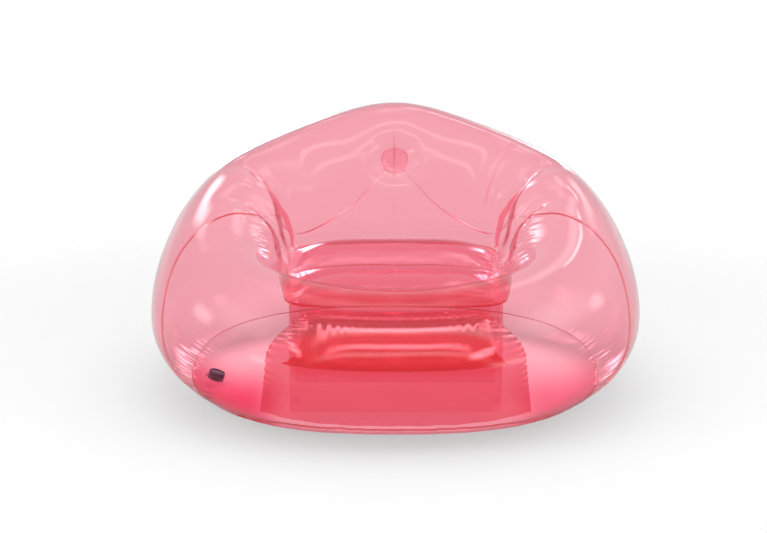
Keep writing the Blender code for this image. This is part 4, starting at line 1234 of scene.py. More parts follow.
@dataclass(frozen=True)
class ValvePlace:
    """Where the valve sits: the flat cell of the CAD base panel between two angles and two places."""

    degrees: tuple[float, float] = (-88.5, -78.3333)
    places: tuple[float, float] = (0.13, 0.37)
    hole: float = 0.0256

    def frame(self) -> tuple[Floats, Floats, Floats, Floats]:
        """Origin on the film's outer face, level X, uphill Y and inward Z."""
        angle = np.radians(np.array(self.degrees))
        low = FORM.skin(angle, np.full(2, self.places[0]))
        high = FORM.skin(angle, np.full(2, self.places[1]))
        normal = np.cross(low[1] - low[0], high[0] - low[0])
        high[1, 2] = low[0, 2] - ((high[1] - low[0])[:2] @ normal[:2]) / normal[2]
        corners = np.concatenate([low, high])
        inwards = unit(np.cross(corners[1] - corners[0], corners[2] - corners[0]))
        inwards = inwards * np.sign(inwards[2])
        level = unit(np.array([-inwards[1], inwards[0], 0.0]))
        return corners.mean(axis=0), level, np.cross(inwards, level), inwards

    def world(self, points: Floats) -> Floats:
        """Points of the valve's own frame, in the chair's."""
        origin, level, uphill, inwards = self.frame()
        return origin + points @ np.stack([level, uphill, inwards])

    def flattened(self, grid: Floats) -> Floats:
        """The film drawn flat under the valve's flange, easing off round it."""
        origin, level, uphill, inwards = self.frame()
        aside = grid - origin
        radius = np.hypot(aside @ level, aside @ uphill)
        height = aside @ inwards
        near = (np.abs(height) < 0.03) * ease((0.075 - radius) / 0.038)
        return grid - (near * height)[..., None] * inwards

    def holed(self, points: Floats, quads: Floats, weld: Floats) -> tuple[Floats, Floats, Floats]:
        """Leave out the faces over the valve's mouth and draw the edge of that hole round.

        Args:
            points: the base panel's points.
            quads: its faces.
            weld: its distances from the welds.

        Returns:
            Faces, points and distances, with a ring of new points round the hole.
        """
        origin, level, uphill, inwards = self.frame()
        aside = points - origin
        x, y, height = aside @ level, aside @ uphill, np.abs(aside @ inwards)
        radius = np.where(height < 0.03, np.hypot(x, y), 1.0)
        inside = radius < self.hole + 0.004
        drop = inside[quads].any(axis=1)
        cut, kept = quads[drop], quads[~drop]
        edges = np.stack([cut, np.roll(cut, -1, axis=1)], -1).reshape(-1, 2)
        twins = {tuple(edge) for edge in edges.tolist()}
        rim = [edge for edge in twins if edge[::-1] not in twins]
        following = dict(rim)
        start = rim[0][0]
        loop = [start]
        while following[loop[-1]] != start:
            loop.append(following[loop[-1]])
        loop = np.array(loop)
        turn = np.arctan2(y[loop], x[loop])
        circle = origin + self.hole * (np.cos(turn)[:, None] * level + np.sin(turn)[:, None] * uphill)
        between = points[loop] + (circle - points[loop]) * 0.5
        first = len(points) + np.arange(len(loop))
        second = first + len(loop)
        bands = [
            np.stack([loop, np.roll(loop, -1), np.roll(first, -1), first], -1),
            np.stack([first, np.roll(first, -1), np.roll(second, -1), second], -1),
        ]
        points = np.concatenate([points, between, circle])
        weld = np.concatenate([weld, np.full(len(loop), self.hole / 4), np.zeros(len(loop))])
        return np.concatenate([kept, *bands]), points, weld


VALVE_PLACE = ValvePlace()


@dataclass(frozen=True)
class SeatForm:
    """The seat's two tubes, its webs' lines and its valleys, the same as the CAD solids'."""

    front_web: float = -0.300
    middle_web: float = -0.050
    rear_web: float = 0.215
    valleys: tuple[float, float, float] = (0.335, 0.346, 0.350)
    rises: tuple[float, float] = (0.026, 0.036)
    edge_power: float = 4.5
    tube_power: float = 0.75
    corner: float = 0.260
    columns: tuple[float, ...] = (0.0, 0.17, 0.34, 0.50, 0.66, 0.82, 0.96, 1.0)
    cad_cells: int = 7

    def half_width(self, depth: Floats) -> Floats:
        """Half the seat's width at a depth: half width (1 - |depth / reach|^p)^(1/p)."""
        ring = FORM.seat
        reach = np.where(depth < 0, ring.front, ring.back)
        return ring.half_width * (1 - np.abs(depth / reach) ** ring.power) ** (1 / ring.power)

    def end_depth(self, across: Floats) -> Floats:
        """Share of the seat's reach at a place across: (1 - |across / half width|^p)^(1/p)."""
        ring = FORM.seat
        return (1 - np.abs(across / ring.half_width) ** ring.power) ** (1 / ring.power)

    def edge_angles(self) -> Floats:
        """Angles of the CAD seat's edge points from the front middle round to the back middle."""
        across = np.array(self.columns) * self.corner
        front = np.stack([across, -FORM.seat.front * self.end_depth(across)])
        back = np.stack([across, FORM.seat.back * self.end_depth(across)])
        first = np.linspace(self.front_web, self.middle_web, self.cad_cells + 1)
        rest = np.linspace(self.middle_web, self.rear_web, self.cad_cells + 1)
        depth = np.concatenate([first, rest[1:]])
        side = np.stack([self.half_width(depth), depth])
        loop = np.concatenate([front, side, back[:, ::-1]], axis=1)
        return np.arctan2(loop[0], -loop[1])

    def edge_at(self, counts: Floats) -> Floats:
        """Angles of the seat's edge points with each CAD cell cut into its own number of cells.

        Args:
            counts: the number for each cell from the front middle to the back middle.

        Returns:
            One angle for each cell's start and the last cell's end.
        """
        spans = 12
        fine = refined(self.edge_angles(), spans)
        cell = np.repeat(np.arange(len(counts)), counts)
        within = np.arange(len(cell)) - np.repeat(np.cumsum(counts) - counts, counts)
        stations = np.append(cell + within / np.repeat(counts, counts), len(counts))
        return np.interp(stations * spans, np.arange(len(fine)), fine)

    def depth_share(self, depth: float) -> float:
        """The share from front to back at which the seat's form reaches a depth."""
        return 0.1 + 0.8 * (depth - self.front_web) / (self.rear_web - self.front_web)

    def crown(self, depth: Floats) -> Floats:
        """Height of the seat's middle line: valley to valley, with a round rise over each tube."""
        front = depth <= self.middle_web
        start = np.where(front, self.front_web, self.middle_web)
        end = np.where(front, self.middle_web, self.rear_web)
        run = np.clip((depth - start) / (end - start), 0, 1)
        low = np.where(front, self.valleys[0], self.valleys[1])
        high = np.where(front, self.valleys[1], self.valleys[2])
        rise = np.where(front, self.rises[0], self.rises[1])
        arch = np.clip(np.sin(math.pi * run), 0, 1) ** self.tube_power
        return low + (high - low) * run + rise * arch

    def points(self, share: Floats, depth_share: Floats) -> Floats:
        """Points of the seat: a share across from -1 to 1, and one from front (0) to back (1).

        The depth share's first and last tenths run from the edge to the front and rear webs.
        """
        run = depth_share
        front = np.clip(run / 0.1, 0, 1)
        back = np.clip((run - 0.9) / 0.1, 0, 1)
        depth = self.front_web + (self.rear_web - self.front_web) * np.clip((run - 0.1) / 0.8, 0, 1)
        edge = share * self.corner
        wide = share * self.half_width(depth)
        x = np.where(run < 0.1, edge + (wide - edge) * front, wide + (edge - wide) * back)
        ends = self.end_depth(edge)
        y_front = -FORM.seat.front * ends + (self.front_web + FORM.seat.front * ends) * front
        y_back = self.rear_web + (FORM.seat.back * ends - self.rear_web) * back
        y = np.where(run < 0.1, y_front, np.where(run > 0.9, y_back, depth))
        low = FORM.seat.height.at(np.arctan2(x, -y))
        lift = (1 - np.abs(share) ** self.edge_power) * ease(front) * ease(1 - back)
        crown = self.crown(depth)
        return np.stack([x, y, low + (crown - low) * lift], axis=-1)


@dataclass
class Seat:
    """Seat panel with its tubes, the three webs that hold it down, and the weld dots."""

    form: SeatForm = field(default_factory=SeatForm)
    columns: int = 170
    rows: int = 190
    web_foot: float = 0.285
    dot_inset: float = 0.018
    dot_heights: tuple[float, float] = (0.256, 0.032)
    hole_radius: float = 0.030
    hole_shares: tuple[float, ...] = (-0.55, 0.0, 0.55)
    # Heights above which the front web's upper part is painted deeper as shade, through the doubled-film mask.
    painted_shade_above: tuple[float, float] = (0.09, 0.135)

    def build(self) -> None:
        """Make the seat panel, the webs and the dots."""
        self.panel()
        for name, depth in (
            ("front", self.form.front_web),
            ("middle", self.form.middle_web),
            ("rear", self.form.rear_web),
        ):
            self.web(f"seat_web_{name}", depth)
        inset = self.web_foot - self.dot_inset
        for side, x in (("left", -inset), ("right", inset)):
            for level, height in zip(("upper", "lower"), self.dot_heights):
                self.dot(f"web_dot_{level}_{side}", x, height)

    def relief(self, points: Floats) -> Floats:
        """Gathers along the valleys, at the tubes' ends and along the seat's edge."""
        x, y = points[..., 0], points[..., 1]
        half = self.form.half_width(np.clip(y, -0.30, 0.215))
        end = half - np.abs(x)
        total = swell(points, 0.0006, 0.16)
        for seed, valley in enumerate((self.form.front_web, self.form.middle_web, self.form.rear_web)):
            phase = math.pi * x / 0.034 + 1.2 * np.sin(x / 0.05 + seed) + seed
            wave = (1 - np.abs(np.cos(phase))) ** 0.8
            ends = 0.25 + 0.75 * np.exp(-((end / 0.06) ** 2))
            total = total + 0.0022 * wave * ends * np.exp(-((np.abs(y - valley) / 0.018) ** 1.3))
        phase = math.pi * y / 0.030 + 0.9 * np.sin(y / 0.04 + np.sign(x))
        side = (1 - np.abs(np.cos(phase))) ** 0.8
        return total + 0.0030 * side * np.exp(-((end / 0.026) ** 1.3))

    def panel(self) -> None:
        """Two tubes side by side, with a fin down all round."""
        across = 2 * crowded(self.columns, 0.75) - 1
        ends, tube = np.linspace(0, 0.1, 14), crowded(81, 0.45)
        valley = self.form.depth_share(self.form.middle_web)
        first, rest = 0.1 + (valley - 0.1) * tube, valley + (0.9 - valley) * tube
        depth = np.concatenate([ends[:-1], first[:-1], rest, 0.9 + ends[1:]])
        share, run = np.meshgrid(across, depth)
        grid = self.form.points(share, run)
        step = 1e-3
        along = self.form.points(np.clip(share + step, -1, 1), run) - self.form.points(
            np.clip(share - step, -1, 1), run
        )
        ahead = self.form.points(share, np.clip(run + step, 0, 1)) - self.form.points(
            share, np.clip(run - step, 0, 1)
        )
        normal = unit(np.cross(along, ahead))
        hold = ease(np.minimum(1 - np.abs(share), 1.0) / 0.02)
        grid = grid - normal * (self.relief(grid) * hold)[..., None]
        rows, columns = grid.shape[:2]
        points = grid.reshape(-1, 3)
        up = np.broadcast_to((0.0, 0.0, 1.0), points.shape)
        valleys = (self.form.front_web, self.form.middle_web, self.form.rear_web)
        nearest = np.min([np.abs(points[:, 1] - valley) for valley in valleys], axis=0)
        weld = np.minimum(RELIEF.weld(points), nearest)
        points, quads = with_fins(
            points, up, grid_quads(rows, columns), [grid_loop(rows, columns)]
        )
        weld = np.concatenate([weld, np.zeros(len(points) - len(weld))])
        make_piece(
            "seat_panel_film",
            points,
            quads,
            SEAT_FILM,
            Body.CHAIR,
            ["seat_panel"],
            FILM.thickness,
            weld,
        )

    def web(self, name: str, depth: float) -> None:
        """An upright film from the floor to one valley, with round holes and a waved foot.

        Each column of the grid runs from the foot to the valley's line, and the film bows out a
        little between its welds by the product of two sines.

        Args:
            name: the CAD node's name.
            depth: the web's place from front to back.
        """
        columns, rows = 150, 60
        share = 2 * crowded(columns, 0.5) - 1
        half = float(self.form.half_width(np.array(depth)))
        foot = share * self.web_foot
        head = share * half * 0.992
        line = self.form.points(share, np.full_like(share, self.form.depth_share(depth)))
        drop = 0.003 + 0.006 * np.exp(-(((1 - np.abs(share)) / 0.1) ** 2))
        top = line[:, 2] - drop - np.maximum(self.relief(line), 0)
        run = crowded(rows, 0.4)[:, None]
        x = foot + (head - foot) * run
        z = 0.0008 + (top - 0.0008) * run
        bow = 0.004 * np.sin(math.pi * run) * np.sin(2 * math.pi * share * 1.5 + depth * 20)
        waves = 0.0025 * np.exp(-((1 - run) / 0.10)) * np.sin(math.pi * x / 0.017 + 5 * depth)
        waves = waves + 0.0020 * np.exp(-run / 0.08) * np.sin(math.pi * x / 0.021 + 9 * depth)
        hold = ease(run / 0.02) * ease((1 - run) / 0.02)
        y = depth + (bow + waves) * hold
        grid = np.stack([x, np.broadcast_to(y, x.shape), z], axis=-1)
        middle = 0.0008 + (top.max() - 0.0008) * 0.5
        points, quads, weld = self._holed(grid, middle)
        front = name == "seat_web_front"
        make_piece(
            name + "_film",
            points,
            quads,
            FRONT_WEB_FILM if front else WEB_FILM,
            Body.CHAIR,
            [name],
            FILM.thickness,
            weld,
            # Painted shade: the front web is darkened above these heights, behind the inner sheet's roll, by posing
            # as doubled film.
            np.interp(points[:, 2], self.painted_shade_above, [1.3, 0.5]) if front else None,
        )

    def _holed(self, grid: Floats, height: float) -> tuple[Floats, Floats, Floats]:
        """Open round holes in a grid.

        Faces whose middle lies nearer to a hole's middle than its radius are left out, and the points
        on the ragged edge that they leave move straight out or in to the circle.

        Args:
            grid: rows by columns of the web's points.
            height: the holes' height.

        Returns:
            Points, faces and distances from the holes' welded edges.
        """
        rows, columns = grid.shape[:2]
        quads = grid_quads(rows, columns)
        points = grid.reshape(-1, 3).copy()
        flat = points[:, [0, 2]].copy()
        weld = np.full(len(points), FILM.away)
        keep = np.ones(len(quads), bool)
        for share in self.hole_shares:
            middle = np.array([share * self.web_foot, height])
            aside = flat - middle
            distance = np.linalg.norm(aside, axis=1)
            centres = flat[quads].mean(axis=1) - middle
            core = self.hole_radius
            inside = np.linalg.norm(centres, axis=1) < core
            keep &= ~inside
            used = np.unique(quads[inside])
            kept_points = np.unique(quads[keep])
            edge = np.intersect1d(used, kept_points)
            direction = aside[edge] / np.maximum(distance[edge, None], 1e-9)
            points[np.ix_(edge, [0, 2])] = middle + direction * core
            weld = np.minimum(weld, np.abs(distance - core))
        quads = quads[keep]
        used, again = np.unique(quads, return_inverse=True)
        return points[used], again.reshape(quads.shape), weld[used]

    def dot(self, name: str, x: float, height: float) -> None:
        """A round weld dot on the front web's rear face: a flat disc with a raised ring."""
        profile = [(0.0, -0.0004), (0.0062, -0.0004), (0.0074, -0.0008), (0.0088, -0.0006)]
        profile += [(0.0090, 0.0), (0.0088, 0.0004), (0.0, 0.0004)]
        points, faces = lathe(profile, 40)
        place = np.array([x, self.form.front_web + 0.0009 + 0.0034, height])
        points = points[:, [0, 2, 1]] * [1, 1, 1] + place
        make_piece(name + "_film", points, faces[:, ::-1], DEEP_FILM, Body.CHAIR, [name])


def lathe(profile: Sequence[tuple[float, float]], steps: int) -> tuple[Floats, Floats]:
    """Turn a profile of radii and heights round Z.

    A profile that starts and ends on the axis makes a closed solid with a fan of thin quads at each
    pole; one that doesn't is joined from its last point to its first, as a ring.

    Args:
        profile: radii and heights, running anticlockwise seen with the axis on the left.
        steps: points round.

    Returns:
        Points and faces.
    """
    shape = np.array(profile, float)
    turn = np.linspace(0, 2 * math.pi, steps, endpoint=False)
    poles = shape[0, 0] == 0
    rings = shape[1:-1] if poles else shape
    points = np.stack(
        [
            rings[:, :1] * np.cos(turn),
            rings[:, :1] * np.sin(turn),
            np.broadcast_to(rings[:, 1:], (len(rings), steps)),
        ],
        axis=-1,
    ).reshape(-1, 3)
    quads = grid_quads(len(rings), steps, True)
    index = np.arange(steps)
    if poles:
        points = np.vstack([points, [0, 0, shape[0, 1]], [0, 0, shape[-1, 1]]])
        low, high = len(points) - 2, len(points) - 1
        last = (len(rings) - 1) * steps
        first_fan = np.stack([np.full(steps, low), np.roll(index, -1), index, index], -1)
        last_fan = np.stack([np.full(steps, high), last + index, last + np.roll(index, -1)], -1)
        last_fan = np.concatenate([last_fan, last_fan[:, 2:]], axis=1)
        quads = np.concatenate([quads, first_fan, last_fan])
    else:
        last = (len(rings) - 1) * steps
        quads = np.concatenate(
            [quads, np.stack([last + index, last + np.roll(index, -1), np.roll(index, -1), index], -1)]
        )
    return points, quads


@dataclass
class FrontFill:
    """The bell-shaped inner sheet with its ruffled weld, and the roll sheet behind its top."""

    top: float = 0.286
    top_half: float = 0.250
    waist: float = 0.140
    waist_half: float = 0.350
    foot_half: float = 0.365
    foot_front: float = 0.408
    plan_half: float = 0.445
    plan_power: float = 2.6
    flare_power: float = 2.2
    roll_top: float = 0.262
    roll_half: float = 0.228
    roll_sag: float = 0.030
    roll_rise: float = 0.010
    columns: int = 300

    def build(self) -> None:
        """Make both sheets."""
        self.sheet()
        self.roll()

    def back(self) -> float:
        """Depth of the sheet's top weld, just in front of the front web."""
        return SeatForm().front_web - FILM.thickness * 1.5 - FILM.gap

    def grid(self, across: Floats, roll: Floats, drop: Floats) -> Floats:
        """Points of the smooth sheet: a quarter arc forward and down, then straight to the floor.

        Args:
            across: shares from -1 to 1.
            roll: turns from 0 at the weld to a quarter circle at the waist.
            drop: shares from the waist to the floor.

        Returns:
            Rows by columns of points.
        """
        forward = np.concatenate([np.sin(roll), np.ones(len(drop))])[:, None]
        arc = self.waist + (self.top - self.waist) * np.cos(roll)
        foot = FILM.thickness + FILM.gap
        height = np.concatenate([arc, self.waist + (foot - self.waist) * drop])[:, None]
        half = self.top_half + (self.waist_half - self.top_half) * forward**self.flare_power
        below = np.concatenate([np.zeros(len(roll)), drop])[:, None]
        x = (half + (self.foot_half - self.waist_half) * below) * across
        bow = (1 - np.abs(x / self.plan_half) ** self.plan_power) ** (1 / self.plan_power)
        y = self.back() + (-self.foot_front * bow - self.back()) * forward
        return np.stack([x, y, np.broadcast_to(height, x.shape)], axis=-1)

    def sheet(self) -> None:
        """Bell-shaped sheet with ruffles that hang from its top weld and gathers at its corners."""
        across = (2 * crowded(self.columns, 0.35) - 1)[None]
        roll = math.pi / 2 * np.linspace(0, 1, 80)
        drop = np.linspace(0, 1, 40)[1:]
        grid = self.grid(across, roll, drop)
        normal = unit(np.cross(np.gradient(grid, axis=1), np.gradient(grid, axis=0)))
        normal = normal * np.sign(-normal[..., 1:2])
        steps = np.linalg.norm(np.diff(grid, axis=0), axis=-1)
        down = np.concatenate([np.zeros((1, self.columns)), np.cumsum(steps, axis=0)])
        x, tall = grid[..., 0], grid[..., 2].copy()
        inset = np.abs(x[:, -1:]) - np.abs(x)
        phase = math.pi * x / 0.030 + 1.1 * np.sin(x / 0.045 + 0.7) + 0.9 * np.sin(x / 0.11)
        ruffle = 0.0050 * (1 - np.abs(np.cos(phase))) ** 0.9 * np.exp(-((down / 0.016) ** 1.6))
        tight = 0.0024 * np.sin(math.pi * x / 0.010 + 1.6 * np.sin(x / 0.03)) * np.exp(-down / 0.007)
        edge_phase = math.pi * down / 0.021 + 1.2 * np.sin(down / 0.04 + np.sign(x))
        edge = 0.0050 * (1 - np.abs(np.cos(edge_phase))) ** 0.9 * np.exp(-inset / 0.020)
        edge = edge * ease(grid[..., 2] / 0.12)
        corner = np.hypot((np.abs(x) - self.top_half) / 0.9, down)
        bearing = np.arctan2(down, self.top_half - np.abs(x))
        star = 0.0035 * np.sin(9 * bearing + 0.6 * np.sign(x)) * np.exp(-corner / 0.030)
        star = star * ease(corner / 0.02)
        foot = 0.0020 * np.sin(math.pi * x / 0.045) * np.exp(-grid[..., 2] / 0.03)
        hold = ease(down / 0.004)
        relief = (ruffle + tight + edge + star + foot) * hold + swell(grid, 0.0002, 0.25)
        grid = grid - normal * relief[..., None]
        dip = 0.006 * np.cos(math.pi / 2 * np.clip(x / self.top_half, -1, 1)) ** 2
        round_off = 0.014 * ease((np.abs(x) / self.top_half - 0.86) / 0.14)
        wobble = 0.0012 * np.sin(math.pi * x / 0.011 + np.sin(x / 0.02))
        grid[..., 2] -= (dip + round_off + wobble) * np.exp(-down / 0.05)
        grid[..., 2] = np.maximum(grid[..., 2], 0.0012)
        grid[..., 1] = np.minimum(grid[..., 1], self.back())
        grid = grid[::-1]
        rows, columns = grid.shape[:2]
        weld = np.minimum(down, inset + 0.004 * ease((0.16 - tall) / 0.06))[::-1].reshape(-1)
        make_piece(
            "inner_front_sheet_film",
            grid.reshape(-1, 3),
            grid_quads(rows, columns),
            DEEP_FILM,
            Body.CHAIR,
            ["inner_front_sheet"],
            FILM.thickness,
            weld,
        )

    def roll(self) -> None:
        """Sheet behind the roll: from the front web it sags down to the inner sheet's waist."""
        columns = 180
        across = np.linspace(-1, 1, self.columns)[None]
        waist = self.grid(across, np.array([math.pi / 2]), np.array([]))[0]
        along = np.gradient(waist, axis=0)
        inwards = unit(np.stack([-along[:, 1], along[:, 0], np.zeros(len(along))], axis=-1))
        low = waist + inwards * (FILM.thickness + 0.0035) + [0, 0, self.roll_rise]
        share = np.linspace(-0.875, 0.875, columns)
        low = np.stack([np.interp(share, across[0], low[:, axis]) for axis in range(3)], axis=-1)
        x = np.linspace(-self.roll_half, self.roll_half, columns)
        high = np.stack([x, np.full_like(x, self.back() - 0.003), np.full_like(x, self.roll_top)], -1)
        run = np.linspace(0, 1, 46)[:, None, None]
        grid = low[None] + (high - low)[None] * run
        grid[..., 2] -= self.roll_sag * np.sin(math.pi * run[..., 0])
        wave = np.sin(math.pi * grid[..., 0] / 0.024 + 1.3 * np.sin(grid[..., 0] / 0.07))
        grid[..., 2] -= 0.0015 * wave * np.exp(-(1 - run[..., 0]) / 0.12)
        grid[..., 2] -= 0.0010 * wave * np.exp(-run[..., 0] / 0.10)
        rows = grid.shape[0]
        edge = run[..., 0] * 0.15 + np.zeros_like(grid[..., 0])
        make_piece(
            "front_roll_sheet_film",
            grid.reshape(-1, 3),
            grid_quads(rows, columns),
            ROLL_FILM,
            Body.CHAIR,
            ["front_roll_sheet"],
            FILM.thickness,
            edge.reshape(-1),
        )


@dataclass
class BackTuft:
    """The dished button at the meeting of three seams, and the strap that draws it in."""

    film: float = 0.0008
    strap_width: float = 0.044

    def build(self) -> None:
        """Make the button and the strap."""
        self.button()
        self.strap()

    def button(self) -> None:
        """A dished disc with a flat middle, gathered round its rim, and its edge turned in."""
        button = FORM.button
        radius = button.radius - 0.0006
        shares = np.linspace(0, 1, 34)[1:]
        turn = np.linspace(0, 2 * math.pi, 120, endpoint=False)
        reach = (shares * radius)[:, None]
        rise = ease((reach - button.flat_radius * 0.8) / (radius - button.flat_radius * 0.8))
        gathers = 0.0007 * np.sin(18 * turn + 0.8 * np.sin(2 * turn)) * np.sin(math.pi * rise)
        height = -button.dish * (1 - rise) + gathers
        local = np.stack([reach * np.cos(turn), reach * np.sin(turn), height], axis=-1)
        skirt = np.stack([local[-1] - [0, 0, FILM.fin / 2], local[-1] - [0, 0, FILM.fin]])
        local = np.concatenate([local, skirt])
        rows = len(local)
        points = np.vstack([local.reshape(-1, 3), [0, 0, -button.dish]])
        index = np.arange(120)
        fan = [(len(points) - 1, int(a), int(b)) for a, b in zip(index, np.roll(index, -1))]
        quads = [tuple(face) for face in grid_quads(rows, 120, True)[:, ::-1].tolist()] + fan
        middle, axis, right, up = FORM.button_frame()
        points = middle + points @ np.stack([right, up, axis])
        weld = np.abs(np.hypot(*local[..., :2].T).T - radius).reshape(-1)
        make_piece(
            "back_button_film",
            points,
            quads,
            SEAT_FILM,
            Body.CHAIR,
            ["back_button"],
            self.film,
            np.append(weld, radius),
        )

    def strap(self) -> None:
        """Upright strap from the button back to the centre seam, bowed a little to one side."""
        middle, axis, _, up = FORM.button_frame()
        front = middle - axis * (FORM.button.dish + self.film + 0.0014)
        low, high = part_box("back_tie_strap")
        run = np.linspace(0, 1, 60)
        width = np.linspace(-0.5, 0.5, 14)
        back = np.array([0.0, high.y - 0.0004, (low.z + high.z) / 2])
        heel = (high.z + low.z) / 2
        line = front + (back - front) * run[:, None]
        line[:, 2] = front[2] + (heel - front[2]) * run
        tall = np.array([0.0, 0.05, 1.0])
        grid = line[:, None] + (self.strap_width * width)[None, :, None] * unit(tall)[None, None]
        bow = 0.004 * np.sin(math.pi * run)[:, None] * np.cos(2 * math.pi * width)[None]
        grid[..., 0] += bow
        rows, columns = grid.shape[:2]
        weld = (1 - run)[:, None] * 0.06 + np.zeros(columns)
        make_piece(
            "back_tie_strap_film",
            grid.reshape(-1, 3),
            grid_quads(rows, columns),
            STRAP_FILM,
            Body.CHAIR,
            ["back_tie_strap"],
            FILM.thickness,
            weld.reshape(-1),
        )


@dataclass
class PlugValve:
    """Two-part plug valve: flange and collar, pull-out insert, one-way flap, cap and tether."""

    steps: int = 96
    bore: float = 0.0223
    flange_radius: float = 0.031
    flange_thickness: float = 0.0012
    collar_wall: float = 0.0020
    collar_height: float = 0.0140
    insert_wall: float = 0.0025
    rim_width: float = 0.0030
    rim_thickness: float = 0.0020
    insert_top: float = 0.0170
    lip_width: float = 0.0050
    lip_thickness: float = 0.0020
    lip_drop: float = 0.0030
    flap_overlap: float = 0.0025
    flap_thickness: float = 0.0008
    cap_radius: float = 0.0235
    cap_thickness: float = 0.0028
    plug_depth: float = 0.0100
    plug_wall: float = 0.0025
    tab_reach: float = 0.0060
    tab_width: float = 0.0120
    tab_thickness: float = 0.0018

    def __post_init__(self) -> None:
        """Heights and radii that follow from the sizes."""
        self.plate = FILM.thickness + FILM.gap
        self.barrel = self.bore - FILM.gap
        self.inner = self.barrel - self.insert_wall
        self.rim_top = self.plate - FILM.gap
        self.rim_base = self.rim_top - self.rim_thickness
        self.lip_top = self.insert_top - self.lip_drop
        self.lip = self.inner - self.lip_width

    def build(self) -> None:
        """Make the five pieces."""
        self.flange()
        self.insert()
        self.flap()
        self.cap()
        self.tether()

    def turned(
        self,
        profile: Sequence[tuple[float, float]],
        round_off: float,
    ) -> tuple[Floats, Floats]:
        """Turn a profile with its corners cut by small chamfers, in the chair's frame.

        Args:
            profile: radii and heights.
            round_off: length cut off each side of a corner.

        Returns:
            Points and faces.
        """
        shape = np.array(profile, float)
        open_ends = shape[0, 0] == 0
        before = np.roll(shape, 1, axis=0) - shape
        after = np.roll(shape, -1, axis=0) - shape
        cut = np.minimum(round_off, np.minimum(*(np.linalg.norm(v, axis=1) for v in (before, after))) / 3)
        soft = []
        for index in range(len(shape)):
            if open_ends and index in (0, len(shape) - 1):
                soft.append(shape[index])
                continue
            a = shape[index] + unit(before[index]) * cut[index]
            b = shape[index] + unit(after[index]) * cut[index]
            soft += [a, (a + b + 2 * shape[index]) / 4, b]
        points, faces = lathe([tuple(point) for point in soft], self.steps)
        return VALVE_PLACE.world(points), faces

    def flange(self) -> None:
        """Flat ring welded inside the film, with its upright collar."""
        shoulder = self.plate + self.flange_thickness
        collar = self.bore + self.collar_wall
        profile = [
            (collar, self.collar_height),
            (self.bore, self.collar_height),
            (self.bore, self.plate),
            (self.flange_radius, self.plate),
            (self.flange_radius, shoulder),
            (collar, shoulder),
        ]
        points, faces = self.turned(profile, 0.0004)
        make_piece(
            "valve_flange_ring", points, faces, CLEAR, Body.CHAIR, ["valve_flange"]
        )

    def insert(self) -> None:
        """Barrel with an outer rim and an inner lip on which the flap lies."""
        lip_base = self.lip_top - self.lip_thickness
        rim = self.barrel + self.rim_width
        profile = [
            (self.barrel, self.insert_top),
            (self.inner, self.insert_top),
            (self.inner, self.lip_top),
            (self.lip, self.lip_top),
            (self.lip, lip_base),
            (self.inner, lip_base),
            (self.inner, self.rim_base),
            (rim, self.rim_base),
            (rim, self.rim_top),
            (self.barrel, self.rim_top),
        ]
        points, faces = self.turned(profile, 0.0004)
        make_piece(
            "valve_insert_barrel", points, faces, DARK, Body.INSERT, ["valve_insert"]
        )

    def flap(self) -> None:
        """Soft disc that lies on the lip, a little dished."""
        radius = self.lip + self.flap_overlap
        base = self.lip_top + FILM.gap
        top = base + self.flap_thickness
        rings = np.linspace(0, radius, 9)
        dish = 0.0005 * (1 - (rings / radius) ** 2)
        profile = [(r, base + d) for r, d in zip(rings, dish)]
        profile += [(r, top + d) for r, d in zip(rings[::-1], dish[::-1])]
        points, faces = lathe(profile, self.steps)
        make_piece(
            "valve_flap_disc",
            VALVE_PLACE.world(points),
            faces,
            MILKY,
            Body.FLAP,
            ["valve_flap"],
        )

    def cap(self) -> None:
        """Round cap with a plug that fits the bore and a pull tab at its uphill side."""
        plug = self.inner - FILM.gap
        top = self.rim_base - FILM.gap
        base = top - self.cap_thickness
        profile = [
            (0, base),
            (self.cap_radius, base),
            (self.cap_radius, top),
            (plug, top),
            (plug, top + self.plug_depth),
            (plug - self.plug_wall, top + self.plug_depth),
            (plug - self.plug_wall, top),
            (0, top),
        ]
        points, faces = self.turned(profile, 0.0005)
        tab_points, tab_faces = self.tab(base)
        faces = np.concatenate([faces, tab_faces + len(points)])
        points = np.concatenate([points, tab_points])
        make_piece("valve_cap_plug", points, faces, DARK, Body.CAP, ["valve_cap"])

    def tab(self, base: float) -> tuple[Floats, Floats]:
        """A rounded tongue that starts inside the cap's edge: a superellipse with soft faces."""
        turn = np.linspace(0, 2 * math.pi, 64, endpoint=False)
        length = self.tab_reach + self.cap_radius / 2
        cosine, sine = np.cos(turn), np.sin(turn)
        x = self.tab_width / 2 * np.sign(cosine) * np.abs(cosine) ** 0.5
        y = length / 2 * np.sign(sine) * np.abs(sine) ** 0.5
        levels = [(0.86, 0.0), (0.97, 0.12), (1.0, 0.4), (1.0, 0.6), (0.97, 0.88), (0.86, 1.0)]
        middle = self.cap_radius + self.tab_reach - length / 2
        start = base + self.tab_thickness / 2
        rows = [
            np.stack([x * s, y * s + middle, np.full(64, start + self.tab_thickness * h)], -1)
            for s, h in levels
        ]
        points = np.concatenate(rows + [[[0, middle, start]], [[0, middle, start + self.tab_thickness]]])
        quads = grid_quads(len(levels), 64, True)
        index = np.arange(64)
        low, high, last = len(points) - 2, len(points) - 1, (len(levels) - 1) * 64
        fan = np.stack([np.full(64, low), np.roll(index, -1), index, index], -1)
        other = np.stack([np.full(64, high), last + index, last + np.roll(index, -1)], -1)
        other = np.concatenate([other, other[:, 2:]], axis=1)
        return VALVE_PLACE.world(points), np.concatenate([quads, fan, other])

